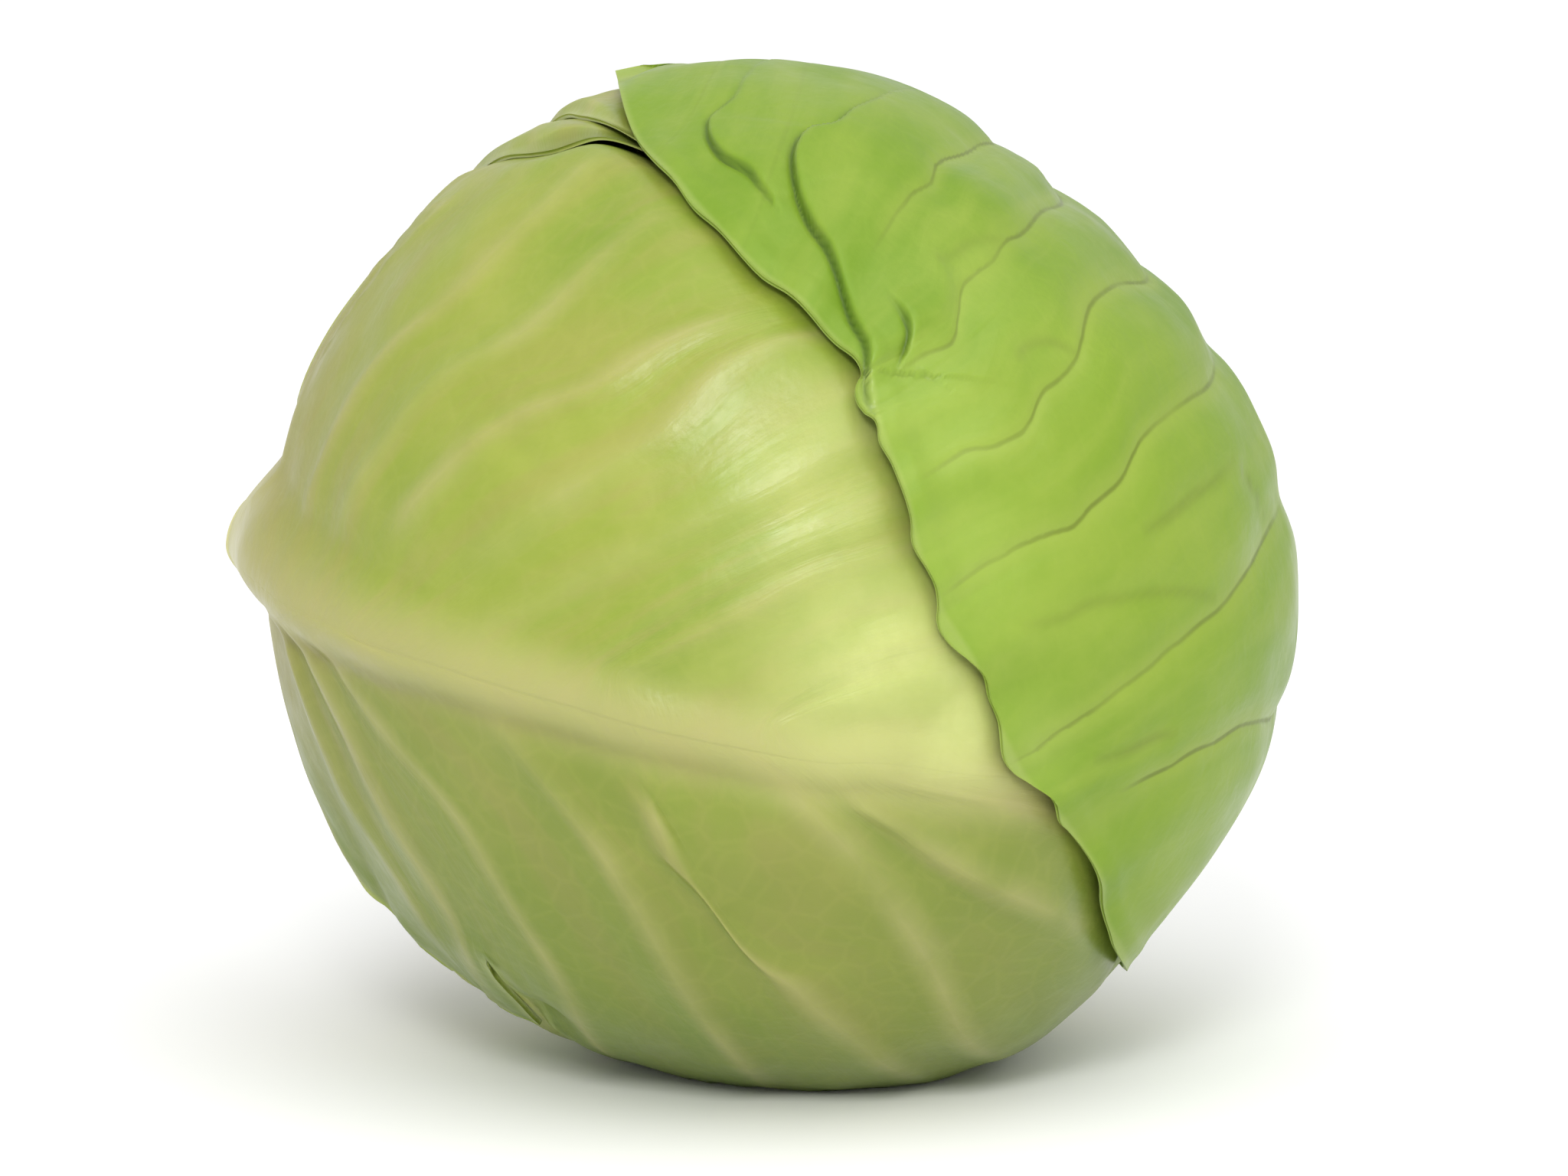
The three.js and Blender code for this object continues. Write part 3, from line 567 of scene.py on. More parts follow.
def vein_lines(leaf, side, s, x, directions, veins):
    """For a grid of one side of a leaf: a coordinate that is whole on each vein, the rib numbers between
    veins, how strong the nearest vein is there, and how much of it the photograph shows."""
    lines = [np.zeros(len(x))]
    reach = [NO_VEIN]
    for number in sorted(veins):
        path = veins[number]
        if path is None:
            lines.append(np.full(len(x), float(number)))
            reach.append((0.0, 1.0))
            continue
        shares, numbers = [], []
        for point in unit(spline([on_head(*p) for p in path], np.linspace(0, 1, 4 * len(path)))):
            row, column = np.unravel_index((directions @ point).argmax(), directions.shape[:2])
            shares.append(x[column])
            numbers.append(s[row])
        order = np.argsort(shares)
        shares, numbers = np.array(shares)[order], np.array(numbers)[order]
        fitted = np.interp(x, shares, numbers)
        padded = np.pad(fitted, VEIN_SMOOTHING // 2, mode="edge")
        fitted = np.convolve(padded, np.ones(VEIN_SMOOTHING) / VEIN_SMOOTHING, "valid")
        root_pull = smooth((shares[0] - x) / max(0.05, shares[0]))
        fitted = fitted * (1 - root_pull) + number * root_pull
        lines.append(fitted)
        reach.append((shares[0], shares[-1]))
    lines.append(np.full(len(x), float(leaf.last)))
    reach.append(NO_VEIN)
    apart = np.arange(len(lines))[:, None] * LEAST_VEIN_GAP
    lines = np.maximum.accumulate(np.array(lines) + apart, axis=0)
    coordinate = np.empty((len(s), len(x)))
    for column in range(len(x)):
        coordinate[:, column] = np.interp(s, lines[:, column], np.arange(len(lines)))
    below = np.clip(coordinate.astype(int), 0, len(lines) - 2)
    columns = np.arange(len(x))[None, :]
    gap = lines[below + 1, columns] - lines[below, columns]
    nearest = np.clip(np.rint(coordinate).astype(int), 0, len(lines) - 1)
    starts, stops = np.array(reach).T
    faint = np.array([1.0] + [FAINT.get((leaf.name, side, number), 1.0) for number in sorted(veins)] + [1.0])
    seen = np.interp(coordinate, np.arange(len(faint)), faint)
    strength = seen * smooth((x - starts[nearest]) / VEIN_END_FADE + 1)
    strength = strength * smooth((stops[nearest] - x) / VEIN_END_FADE + 1)
    strength = np.where((nearest == 0) | (nearest == len(lines) - 1), 0, strength)
    return coordinate, gap, strength, seen


CROWN_SHOWN_FROM, CROWN_PLEATED_TO, ROW_EASE = 2, 12.5, 1.5


def grid(leaf):
    """Rib numbers by rows, and for each side the shares by columns and the directions of the grid.

    The crown leaf's rows are closest together where the photograph shows it, and most of all by the pleats.
    """
    s = np.linspace(0, leaf.last, leaf.rows)
    if leaf.sunk:
        shown = smooth((s - CROWN_SHOWN_FROM) / ROW_EASE)
        density = 0.5 + 1.5 * shown + 0.9 * shown * smooth((CROWN_PLEATED_TO - s) / ROW_EASE)
        done = np.cumsum(density)
        s = np.interp(np.linspace(done[0], done[-1], leaf.rows), done, s)
    sides = []
    for side, count in enumerate(leaf.columns):
        even = np.linspace(0, 1, count)
        toward_margin = 0.35 * even + 0.65 * even**0.5
        toward_midrib = 0.55 * even + 0.45 * even**1.6
        x = toward_margin if leaf.sunk and side == 0 else toward_midrib
        sides.append((x, leaf.place(s, x, side)))
    return s, sides


SEEN_VEINS = {
    "front_leaf": [FRONT_UPPER_VEINS, FRONT_LOWER_VEINS],
    "crown_leaf": [CROWN_SEEN_VEINS, {n: None for n in (1, 2.5, 4, 5.5, 7, 9, 10.5, 12, 14, 16, 18)}],
}


def lay(directions, height, floor):
    """Points in millimetres, that high above the head's own form and no lower than the floor."""
    points = directions * (head_radius(directions, SLIT) + height)[..., None] + CENTRE
    points[..., 2] = np.maximum(points[..., 2], floor)
    return points


def leaf_sheet(leaf, above):
    """Outer and inner points of a leaf in millimetres, and what its material reads at each point."""
    s, sides = grid(leaf)
    outer, inner, facts = [], [], []
    for side, (x, directions) in enumerate(sides):
        depth, covered = pressed_by(above, directions)
        own = leaf.inside_by(directions)
        veins = SEEN_VEINS.get(leaf.name, [{n: None for n in range(1, leaf.last)}] * 2)[side]
        coordinate, gap, strength, seen = vein_lines(leaf, side, s, x, directions, veins)
        base = directions * head_radius(directions)[..., None]
        per_rib = np.linalg.norm(np.gradient(base, s, axis=0), axis=2)
        spacing = np.maximum(1.0, gap * per_rib)
        vein_mm = np.abs(coordinate - np.rint(coordinate)) * spacing

        # the midrib, and the folds and veins on either side of it
        progress = (s / leaf.last)[:, None]
        midrib = unit(spline(leaf.roots, np.linspace(0, 1, 500)))
        from_midrib = distance_to_path(directions, midrib)[0]
        width = leaf.stalk[side] + (MIDRIB_END_WIDTH - leaf.stalk[side]) * progress**MIDRIB_NARROWING
        height = leaf.stalk_height + (MIDRIB_END_HEIGHT - leaf.stalk_height) * progress**MIDRIB_LOWERING
        ridge = height * (1 - np.clip(from_midrib / width, 0, 1) ** 2) ** MIDRIB_ROUNDNESS
        share = x[None, :]
        grown = smooth(s)[:, None]
        fade = (1 - FOLD_FADE * share) * smooth((from_midrib - FOLD_START) / FOLD_START_REACH)
        if leaf.sunk:
            puff = leaf.fold * (1 - seen * np.exp(-np.square(vein_mm / PUFF_REACH)))
            fold = (puff - GROOVE_DEPTH * bell(vein_mm / GROOVE_WIDTH) * strength) * fade * grown
        else:
            rolling = 0.5 + 0.5 * np.cos(2 * np.pi * np.clip(vein_mm / spacing, 0, 0.5))
            round_vein = bell(vein_mm / (VEIN_WIDTH + VEIN_ROOT_WIDENING * (1 - share))) * strength
            amount = leaf.fold * (UPPER_SIDE_FOLD if side == 0 else 1.0)
            amount = amount * (ROLL_LEAST + (1 - ROLL_LEAST) * strength)
            fold = (amount * rolling**ROLL_POWER + VEIN_HEIGHT * round_vein) * fade * grown

        # swells, waves, dents, small veins and pleats
        swell = BROAD_SWELL * noise(base, BROAD_SWELL_SIZE, leaf.fold)
        swell = swell + FINE_SWELL * noise(base, FINE_SWELL_SIZE, FINE_SWELL_SHIFT)
        wave = WAVE * share**WAVE_POWER * (1 + np.sin(2 * np.pi * WAVES_PER_RIB * s))[:, None]
        bend = fold + swell * grown + wave
        for path, half_width, dent in DENTS if leaf.name == "front_leaf" else []:
            bend = bend - dent * bell(distance_to_path(directions, path_on_head(path))[0] / half_width)
        crease_shade, small, light = (np.zeros_like(bend) for _ in range(3))
        # Paler places of the leaf, partly the leaf's own paler colour and partly painted sheen.
        for place, width_mm, pale_and_sheen_share in PALE_AND_SHEEN_PLACES.get(leaf.name, []):
            away = mm_from(directions, on_head(*place))
            light = np.maximum(light, pale_and_sheen_share * bell(away / width_mm))
        if leaf.sunk:
            pleat, crease_shade = pleat_relief(directions)
            for path in SMALL_VEINS if side == 0 else []:
                mm, _, along = distance_to_path(directions, path_on_head(path))
                taper = np.clip(4 * along * (1 - along), 0, 1)
                small = np.maximum(small, bell(mm / SMALL_VEIN_WIDTH) * np.sqrt(taper))
                bend = bend - SMALL_VEIN_HOLLOW * bell(mm / SMALL_VEIN_REACH) * smooth(taper)
            away = mm_from(directions, on_head(*FLARE_PLACE))
            bend = bend + pleat + FLARE_LIFT * bell(away / FLARE_SPREAD) * bell(own / SETTLE)
        bend = bend * (1 - leaf.hug * (1 - smooth(own / HUG_REACH)))
        if leaf.name == "front_leaf" and side == 1:
            bend = bend * (1 - NOTCH_CALM * bell((s - NOTCH_AT) / NOTCH_CALM_REACH))[:, None]

        # the leaf's layer on the head, its margin and its thickness
        flat = 1 - covered * (1 - COVERED_RELIEF)
        proud = LAYER_PITCH * (1 - settled(own))
        level = proud * (1 - covered * (1 - COVERED_LIFT)) - depth - leaf.slack
        if leaf.name == "under_leaf":
            level = level + NOTCH_FILL * bell(mm_from(directions, SLIT) / NOTCH_FILL_REACH)
        body = level + bend * flat
        floor = FLOOR_SPACING * depth
        curl = (CURL + HUG_CURL * leaf.hug) * (1 - smooth(own / CURL_REACH)) * grown * (1 - covered)
        lip = smooth(own / LIP_START) * (1 - smooth((own - LIP_END) / LIP_FADE))
        lip = LIP_THICKNESS * leaf.hug * lip * grown * (1 - covered)
        thickness = BLADE * (MARGIN_BLADE_SHARE + (1 - MARGIN_BLADE_SHARE) * smooth(own / 2))
        thickness = thickness + CURL_THICKNESS * curl * (1 - leaf.hug) + lip
        body = body - curl

        outer.append(lay(directions, body + ridge * flat, floor))
        inner.append(lay(directions, body - thickness, floor + thickness))
        # The material reads painted shade in the folds and at the midrib's foot, and painted sheen on the
        # paler places, from these facts.
        facts.append(
            {
                "vein": coordinate,
                "gap": spacing,
                "strength": strength,
                "margin_mm": own,
                "rib_mm": from_midrib,
                "share": np.broadcast_to(share, own.shape),
                "crease_shade": crease_shade,
                "small": small,
                "foot": side * bell((from_midrib - FOOT_AT * width) / FOOT_WIDTH) * (1 - progress) ** 0.5,
                "light": light,
                "stem_mm": mm_from(directions, STEM_WAY),
                "lower": np.full_like(own, float(side)),
            }
        )

    def join(first, second):
        return np.concatenate([first[:, :0:-1], second], axis=1)

    return join(*outer), join(*inner), {key: join(facts[0][key], facts[1][key]) for key in facts[0]}


def add_mesh(name, points, faces, facts=None):
    mesh = bpy.data.meshes.new(name)
    mesh.from_pydata((points / 1000).tolist(), [], faces)
    mesh.validate()
    for key, values in (facts or {}).items():
        layer = mesh.attributes.new(key, "FLOAT", "POINT")
        layer.data.foreach_set("value", np.asarray(values, np.float32).ravel())
    mesh.polygons.foreach_set("use_smooth", [True] * len(mesh.polygons))
    piece = bpy.data.objects.new(name, mesh)
    bpy.context.scene.collection.objects.link(piece)
    return piece


def closed_sheet(name, outer, inner, facts):
    """Two like grids of points, closed round their edge."""
    rows, columns = outer.shape[:2]
    number = np.arange(rows * columns).reshape(rows, columns)
    a, b, c, d = number[:-1, :-1], number[1:, :-1], number[1:, 1:], number[:-1, 1:]
    front = np.stack([a, d, c, b], -1).reshape(-1, 4)
    back = np.stack([a, b, c, d], -1).reshape(-1, 4) + rows * columns
    rim = np.concatenate([number[0, :-1], number[:-1, -1], number[-1, :0:-1], number[:0:-1, 0]])
    after = np.roll(rim, -1)
    edge = np.stack([rim, after, after + rows * columns, rim + rows * columns], -1)
    points = np.concatenate([outer.reshape(-1, 3), inner.reshape(-1, 3)])
    both = {key: np.concatenate([values.ravel()] * 2) for key, values in facts.items()}
    faces = np.concatenate([front, back, edge])
    middle = number[rows // 2, columns // 2]
    p, q, r = (points[k] for k in (middle, middle + columns, middle + 1))
    if np.dot(np.cross(q - p, r - p), p - CENTRE) > 0:
        faces = faces[:, ::-1]
    return add_mesh(name, points, faces.tolist(), both)


def turned(reach, radius, columns):
    """Rows of points round the head's axis, that far toward the stem and that far from the axis."""
    turn = np.linspace(0, 2 * np.pi, columns, endpoint=False)
    across, up = radius[:, None] * np.cos(turn), radius[:, None] * np.sin(turn)
    return np.stack([-reach[:, None] * np.ones_like(turn), across, up], -1)


def round_mesh(name, points, reverse=False):
    """A grid of points whose last column joins its first."""
    rows, columns = points.shape[:2]
    number = np.arange(rows * columns).reshape(rows, columns)
    after = np.roll(number, -1, axis=1)
    corners = [number[:-1], number[1:], after[1:], after[:-1]]
    if reverse:
        corners = corners[:1] + corners[:0:-1]
    faces = np.stack(corners, -1).reshape(-1, 4)
    return add_mesh(name, points.reshape(-1, 3), faces.tolist())


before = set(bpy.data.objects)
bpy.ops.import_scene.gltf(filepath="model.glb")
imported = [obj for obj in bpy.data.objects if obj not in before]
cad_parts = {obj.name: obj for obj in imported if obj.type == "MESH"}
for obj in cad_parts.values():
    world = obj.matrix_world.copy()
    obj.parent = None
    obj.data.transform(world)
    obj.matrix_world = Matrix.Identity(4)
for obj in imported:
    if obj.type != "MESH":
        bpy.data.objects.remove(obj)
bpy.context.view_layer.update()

LEAVES = [
    Leaf("under_leaf", UNDER_RIBS, (256, 318, 200), (7, 7), 4.0, 150, (60, 60), 0.3, slack=-0.8),
    Leaf("front_leaf", FRONT_RIBS, (14, 86, -64), (20, 11), 8.6, 290, (80, 80), 1.4),
    Leaf("back_leaf", BACK_RIBS, (222, 96, 268), (10, 8), 4.5, 220, (80, 60), 1.2, hug=0.8),
    Leaf("top_leaf", TOP_RIBS, (108, 74, 146), (7, 7), 4.0, 170, (60, 50), 0.8, hug=0.8),
    Leaf("crown_leaf", CROWN_RIBS, (150, 122, 184), (11, 8), 5.5, 372, (114, 18), 1.4, sunk=True),
]

pieces = {}
for i, leaf in enumerate(LEAVES):
    outer, inner, facts = leaf_sheet(leaf, LEAVES[i + 1 :])
    pieces[leaf.name] = closed_sheet(leaf.name + "_skin", outer, inner, facts)


HEART_LAPS, HEART_LAP_TWIST, HEART_LAP_HEIGHT = 3, 1.2, 1.1


def heart_piece():
    """The dense heart: a fine ball pressed in by every leaf over it, with laps of inner leaves."""
    polar = np.linspace(0, np.pi, 90)
    directions = turned(np.cos(polar), np.sin(polar), 180)
    depth = pressed_by(LEAVES, directions)[0]
    lap_turn = np.arctan2(directions[..., 2], -directions[..., 1]) / (2 * np.pi)
    lap_turn = lap_turn + HEART_LAP_TWIST * directions[..., 0]
    lap = HEART_LAP_HEIGHT * (lap_turn * HEART_LAPS % 1)
    radius = head_radius(directions, SLIT) - depth - HEART_CLEARANCE - lap
    points = directions * radius[..., None] + CENTRE
    points[..., 2] = np.maximum(points[..., 2], FLOOR_SPACING * depth + HEART_CLEARANCE)
    points[..., 0] = np.maximum(points[..., 0], -STEM_SEAT)
    return round_mesh("heart_skin", points, reverse=True)


STEM_ROUGHNESS, STEM_GRAIN, STEM_EDGE = 0.25, 2.5, 1.5


def stem_piece():
    """The cut stem: a turned stalk with a slightly uneven cut face."""
    seat = STEM_SEAT + STEM_GAP
    profile = [
        (0, seat),
        (STEM_RADIUS * 0.86, seat),
        (STEM_RADIUS, STEM_FACE - 1.2),
        (STEM_RADIUS * 0.94, STEM_FACE),
        (STEM_RADIUS * 0.5, STEM_FACE + 0.4),
        (0, STEM_FACE + 0.5),
    ]
    along = np.linspace(0, len(profile) - 1, 90)
    radius, reach = (np.interp(along, np.arange(len(profile)), values) for values in zip(*profile))
    points = turned(reach, radius, 96)
    on_face = smooth((reach - STEM_FACE + STEM_EDGE) / STEM_EDGE)[:, None]
    rough = STEM_ROUGHNESS * noise(points, STEM_GRAIN) * on_face
    points[..., 0] += np.minimum(0, rough)
    points = points + CENTRE
    return round_mesh("stem_skin", points)


pieces["heart"] = heart_piece()
pieces["stem"] = stem_piece()


class Nodes:
    """Short ways to lay out a material's nodes."""

    def __init__(self, name):
        self.material = bpy.data.materials.new(name)
        self.material.use_nodes = True
        self.tree = self.material.node_tree
        self.surface = self.tree.nodes["Principled BSDF"]

    def node(self, kind, **settings):
        node = self.tree.nodes.new(kind)
        for key, value in settings.items():
            setattr(node, key, value)
        return node

    def link(self, source, target):
        if isinstance(source, (int, float, tuple)):
            target.default_value = source
        else:
            self.tree.links.new(source, target)

    def fill(self, node, values):
        """Gives each named socket of a node a number, a colour or another node's output."""
        for socket, value in values.items():
            self.link(value, node.inputs[socket])
        return node

    def fact(self, name):
        return self.node("ShaderNodeAttribute", attribute_name=name).outputs["Fac"]

    def math(self, operation, a, b=0.0, clamp=False):
        node = self.node("ShaderNodeMath", operation=operation, use_clamp=clamp)
        self.link(a, node.inputs[0])
        self.link(b, node.inputs[1])
        return node.outputs[0]

    def ramp(self, value, low, high, start=0.0, end=1.0):
        """Goes smoothly from start to end while the value goes from low to high."""
        node = self.node("ShaderNodeMapRange", interpolation_type="SMOOTHSTEP")
        limits = {"From Min": low, "From Max": high, "To Min": start, "To Max": end}
        return self.fill(node, {"Value": value, **limits}).outputs["Result"]

    def mix(self, share, a, b, blend="MIX"):
        node = self.node("ShaderNodeMix", data_type="RGBA", blend_type=blend)
        self.link(share, node.inputs["Factor"])
        self.link(a, node.inputs[6])
        self.link(b, node.inputs[7])
        return node.outputs[2]

    def noise(self, scale, detail=3.0, roughness=0.55, shift=(0, 0, 0)):
        place = self.node("ShaderNodeTexCoord").outputs["Object"]
        mapping = self.fill(self.node("ShaderNodeMapping"), {"Vector": place, "Location": shift})
        settings = {"Vector": mapping.outputs[0], "Scale": scale, "Detail": detail, "Roughness": roughness}
        return self.fill(self.node("ShaderNodeTexNoise"), settings).outputs["Fac"]

    def streaks(self, across, along):
        """Noise drawn out along a leaf's side veins."""
        x = self.math("MULTIPLY", self.fact("vein"), across)
        y = self.math("MULTIPLY", self.fact("share"), along)
        place = self.fill(self.node("ShaderNodeCombineXYZ"), {"X": x, "Y": y, "Z": self.fact("lower")})
        settings = {"Vector": place.outputs[0], "Scale": 1.0, "Detail": 4.0}
        return self.fill(self.node("ShaderNodeTexNoise"), settings).outputs["Fac"]

    def bump(self, height, strength, distance):
        node = self.node("ShaderNodeBump")
        self.fill(node, {"Height": height, "Strength": strength, "Distance": distance})
        self.link(node.outputs[0], self.surface.inputs["Normal"])


def rgb(r, g, b, light=0.62):
    """The surface colour that looks like this colour, from 0 to 255, under the studio light."""

    def linear(c):
        c /= 255
        return light * (c / 12.92 if c <= 0.04045 else ((c + 0.055) / 1.055) ** 2.4)

    return (linear(r), linear(g), linear(b), 1.0)


# Colours that the leaves share: the beige toward the stem, the painted shade below the midrib and its deeper
# green painted shade toward the bottom, the painted shade at the midrib's foot, the nub at the stem, the rim
# of the margin, and the painted shade in a fold.
STEM_END = rgb(190, 178, 102)
LOWER_PAINTED_SHADE = rgb(136, 138, 70)
LOWER_GREEN_PAINTED_SHADE = rgb(112, 148, 40)
FOOT_PAINTED_SHADE = rgb(146, 136, 76)
NUB = rgb(238, 234, 172)
RIM = rgb(205, 218, 130)
FOLD_PAINTED_SHADE = rgb(62, 96, 24)
GLOSS = 0.33
NET_SCALE = 190


def sunk_vein_colour(n, blade, pale, vein_colour, vein_mm, uneven):
    """The crown leaf's blade with dark grooves for veins, each in a pale band."""
    strength = n.fact("strength")
    line = n.math("MULTIPLY", n.ramp(vein_mm, 0.1, 0.65, 1.0, 0.0), strength)
    line = n.math("MAXIMUM", line, n.math("MULTIPLY", n.fact("small"), 0.6))
    halo = n.math("MULTIPLY", n.ramp(vein_mm, 0.6, 4.0, 0.4, 0.0), strength)
    colour = n.mix(halo, blade, pale)
    return n.mix(n.math("MULTIPLY", line, n.math("MULTIPLY", uneven, 0.6)), colour, vein_colour)


def raised_vein_colour(n, blade, vein_colour, vein_mm, uneven):
    """A blade with pale raised veins and midrib, beige toward the stem, with painted shade below the midrib,
    deeper toward the bottom, and at the midrib's foot.
    """
    stem_end = n.ramp(n.fact("stem_mm"), 14.0, 95.0, 0.9, 0.0)
    colour = n.mix(stem_end, blade, STEM_END)
    # Painted shade on the side below the midrib.
    shade = n.math("MULTIPLY", n.fact("lower"), n.ramp(n.fact("share"), 0.0, 0.35, 0.0, 0.4))
    colour = n.mix(shade, colour, LOWER_PAINTED_SHADE)
    # Deeper green painted shade toward the bottom of the side below the midrib.
    low = n.math("MULTIPLY", n.fact("lower"), n.ramp(n.fact("share"), 0.45, 0.95, 0.0, 0.55))
    colour = n.mix(low, colour, LOWER_GREEN_PAINTED_SHADE)
    width = n.ramp(n.fact("share"), 0.0, 1.0, 5.5, 3.4)
    line = n.math("SUBTRACT", 1.0, n.math("DIVIDE", vein_mm, width, clamp=True), clamp=True)
    line = n.math("MULTIPLY", n.math("POWER", line, 1.2), n.math("MULTIPLY", n.fact("strength"), uneven))
    colour = n.mix(n.math("MULTIPLY", line, 0.55), colour, vein_colour)
    rib = n.ramp(n.fact("rib_mm"), 1.0, 11.0, 0.75, 0.0)
    colour = n.mix(rib, colour, vein_colour)
    # Painted shade along the foot of the midrib's lower flank.
    colour = n.mix(n.math("MULTIPLY", n.fact("foot"), 0.4), colour, FOOT_PAINTED_SHADE)
    near_stem = n.ramp(n.fact("stem_mm"), 16.0, 44.0, 0.9, 0.0)
    nub = n.math("MULTIPLY", near_stem, n.ramp(n.fact("rib_mm"), 6.0, 20.0, 1.0, 0.0))
    return n.mix(nub, colour, NUB)


def leaf_material(name, pale, fresh, deep, pale_and_sheen_colour, vein_colour, sunk):
    """A waxy leaf: mottled blade, veins, pale margin, a pale beige base, paler places partly with painted
    sheen, and painted shade in folds.
    """
    n = Nodes(name)
    mottle = n.noise(38, 5.0, 0.6)
    broad = n.noise(11, 2.0, 0.5, shift=(3, 1, 2))
    blade = n.mix(n.ramp(broad, 0.36, 0.66), fresh, deep)
    blade = n.mix(n.ramp(mottle, 0.4, 0.75, 0.0, 0.4), blade, pale)
    streaks = n.ramp(n.streaks(2.6, 2.4), 0.42, 0.68)
    blade = n.mix(n.math("MULTIPLY", streaks, 0.35), blade, pale if sunk else STEM_END)
    coordinate = n.fact("vein")
    offset = n.math("ABSOLUTE", n.math("SUBTRACT", coordinate, n.math("ROUND", coordinate)))
    vein_mm = n.math("MULTIPLY", offset, n.fact("gap"))
    uneven = n.ramp(n.noise(45, 2.0, 0.5, shift=(7, 2, 4)), 0.3, 0.62, 0.35, 1.0)
    if sunk:
        colour = sunk_vein_colour(n, blade, pale, vein_colour, vein_mm, uneven)
    else:
        colour = raised_vein_colour(n, blade, vein_colour, vein_mm, uneven)
    # Paler places, partly with painted sheen.
    colour = n.mix(n.math("MULTIPLY", n.fact("light"), n.ramp(mottle, 0.25, 0.7, 0.55, 1.0)), colour, pale_and_sheen_colour)
    fine = n.node("ShaderNodeTexVoronoi", feature="DISTANCE_TO_EDGE")
    n.fill(fine, {"Vector": n.node("ShaderNodeTexCoord").outputs["Object"], "Scale": NET_SCALE})
    net = n.ramp(fine.outputs["Distance"], 0.0, 0.14, 0.06, 0.0)
    colour = n.mix(net, colour, pale)
    rim_width, rim_share = (1.4, 0.3) if sunk else (2.2, 0.45)
    edge = n.ramp(n.fact("margin_mm"), 0.2, rim_width, rim_share, 0.0)
    colour = n.mix(edge, colour, RIM)
    # Painted shade in the folds of the pleats.
    colour = n.mix(n.math("MULTIPLY", n.fact("crease_shade"), 0.75), colour, FOLD_PAINTED_SHADE)
    rough = n.ramp(n.noise(60, 4.0, 0.6, shift=(5, 5, 5)), 0.3, 0.7, GLOSS - 0.05, GLOSS + 0.12)
    look = {
        "Base Color": colour,
        "Roughness": rough,
        "Specular IOR Level": 0.2 if sunk else 0.32,
        "Subsurface Weight": 0.2,
        "Subsurface Radius": (0.8, 1.0, 0.25),
        "Subsurface Scale": 0.003,
    }
    n.fill(n.surface, look)
    fine_grain = n.math("MULTIPLY", n.noise(420, 3.0, 0.6), 0.3)
    grain = n.math("ADD", fine_grain, n.math("MULTIPLY", n.noise(120, 3.0, 0.6), 0.8))
    grain = n.math("ADD", grain, n.math("MULTIPLY", n.streaks(6.5, 5.0), 0.5 if sunk else 0.75))
    n.bump(n.math("SUBTRACT", grain, n.math("MULTIPLY", net, 0.8)), strength=0.35, distance=0.0006)
    return n.material


def heart_material():
    n = Nodes("heart")
    colour = n.mix(n.ramp(n.noise(40, 4.0), 0.3, 0.7), rgb(205, 214, 140), rgb(222, 226, 170))
    n.fill(n.surface, {"Base Color": colour, "Roughness": 0.45})
    return n.material


def stem_material():
    n = Nodes("stem")
    colour = n.mix(n.ramp(n.noise(180, 5.0, 0.65), 0.3, 0.7), rgb(222, 214, 172), rgb(190, 172, 118))
    n.fill(n.surface, {"Base Color": colour, "Roughness": 0.7})
    n.bump(n.noise(300, 5.0, 0.7), strength=0.6, distance=0.0008)
    return n.material


# Each leaf's brightest colour goes to its paler places, partly paler leaf and partly painted sheen.
FRONT = dict(
    pale=rgb(206, 208, 108),
    fresh=rgb(174, 190, 74),
    deep=rgb(140, 172, 46),
    pale_and_sheen_colour=rgb(236, 244, 154),
    vein_colour=rgb(206, 200, 132),
)
CROWN = dict(
    pale=rgb(178, 200, 84),
    fresh=rgb(150, 184, 58),
    deep=rgb(126, 168, 40),
    pale_and_sheen_colour=rgb(190, 216, 100),
    vein_colour=rgb(112, 124, 46),
)
MATERIALS = {
    name: leaf_material(name, sunk=False, **FRONT)
    for name in ("front_leaf", "back_leaf", "top_leaf", "under_leaf")
}
MATERIALS["crown_leaf"] = leaf_material("crown_leaf", sunk=True, **CROWN)
MATERIALS["heart"] = heart_material()
MATERIALS["stem"] = stem_material()
for name, piece in pieces.items():
    piece.data.materials.append(MATERIALS[name])
    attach(piece, "root")
    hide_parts(name)

# The floor, the light and the camera.
FLOOR_REACH, FLOOR_DROP = 12.0, 0.0002
WORLD_STRENGTH = 0.72
SUN_STRENGTH, SUN_SPREAD, SUN_AZIMUTH = 1.5, math.radians(70), math.radians(35)
SUN_LEVEL, SUN_HEIGHT = 0.5, 0.86
floor_mesh = bpy.data.meshes.new("floor")
floor_corners = [(x * FLOOR_REACH, y * FLOOR_REACH, 0) for x, y in ((-1, -1), (1, -1), (1, 1), (-1, 1))]
floor_mesh.from_pydata(floor_corners, [], [(0, 1, 2, 3)])
floor = bpy.data.objects.new("floor", floor_mesh)
floor.location.z = -FLOOR_DROP
bpy.context.scene.collection.objects.link(floor)
floor_look = Nodes("floor")
floor_look.fill(
    floor_look.surface, {"Base Color": (0.93, 0.93, 0.93, 1), "Roughness": 0.8, "Specular IOR Level": 0.1}
)
floor.data.materials.append(floor_look.material)

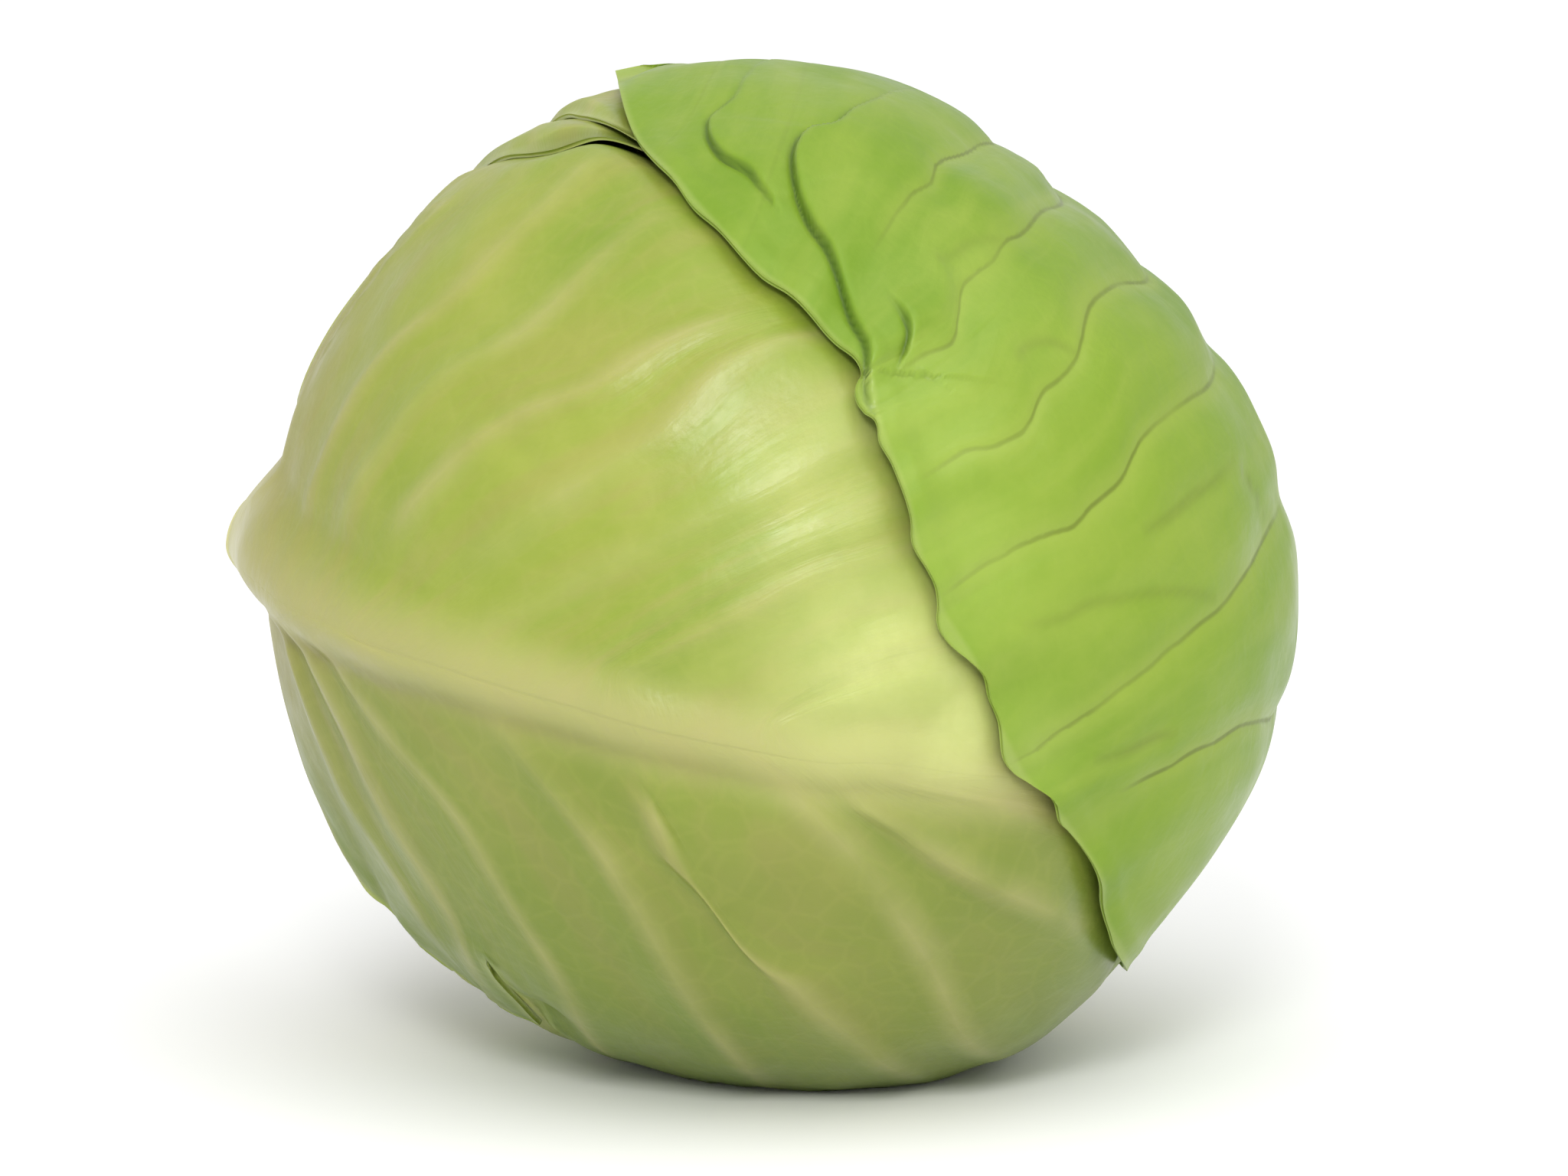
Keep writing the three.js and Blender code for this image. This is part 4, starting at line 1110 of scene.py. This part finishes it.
world = bpy.data.worlds.new("studio")
world.use_nodes = True
background = world.node_tree.nodes["Background"]
background.inputs["Color"].default_value = (1, 1, 1, 1)
background.inputs["Strength"].default_value = WORLD_STRENGTH
bpy.context.scene.world = world


def area_light(name, azimuth, elevation, distance, size, power):
    """A square soft light that faces the head from that azimuth and elevation."""
    light = bpy.data.lights.new(name, "AREA")
    light.size = size
    light.energy = power
    lamp = bpy.data.objects.new(name, light)
    a, e = math.radians(azimuth), math.radians(elevation)
    back = Vector((math.sin(a) * math.cos(e), -math.cos(a) * math.cos(e), math.sin(e)))
    lamp.location = Vector((0, 0, 0.08)) + back * distance
    lamp.rotation_euler = back.to_track_quat("Z", "Y").to_euler()
    bpy.context.scene.collection.objects.link(lamp)


area_light("key", azimuth=6, elevation=30, distance=1.6, size=0.4, power=11)

sun = bpy.data.lights.new("sun", "SUN")
sun.energy = SUN_STRENGTH
sun.angle = SUN_SPREAD
sun_lamp = bpy.data.objects.new("sun", sun)
sun_way = Vector((math.sin(SUN_AZIMUTH) * SUN_LEVEL, -math.cos(SUN_AZIMUTH) * SUN_LEVEL, SUN_HEIGHT))
sun_lamp.rotation_euler = sun_way.to_track_quat("Z", "Y").to_euler()
bpy.context.scene.collection.objects.link(sun_lamp)

SENSOR = 36.0
PICTURE_WIDTH_MM = 257.6
PICTURE_SIZE = (2048, 1536)
HEAD_PIXEL = (1025.0, 743.4)
camera_data = bpy.data.cameras.new("camera")
camera_data.sensor_width = SENSOR
camera_data.lens = SENSOR * VIEW_DISTANCE / PICTURE_WIDTH_MM
camera_data.shift_x = -(HEAD_PIXEL[0] - PICTURE_SIZE[0] / 2) / PICTURE_SIZE[0]
camera_data.shift_y = (HEAD_PIXEL[1] - PICTURE_SIZE[1] / 2) / PICTURE_SIZE[0]
camera = bpy.data.objects.new("camera", camera_data)
camera.location = Vector((CENTRE + TOWARD * VIEW_DISTANCE) / 1000)
camera.rotation_euler = Vector(TOWARD).to_track_quat("Z", "Y").to_euler()
bpy.context.scene.collection.objects.link(camera)
bpy.context.scene.camera = camera
bpy.context.scene.view_settings.view_transform = "Standard"
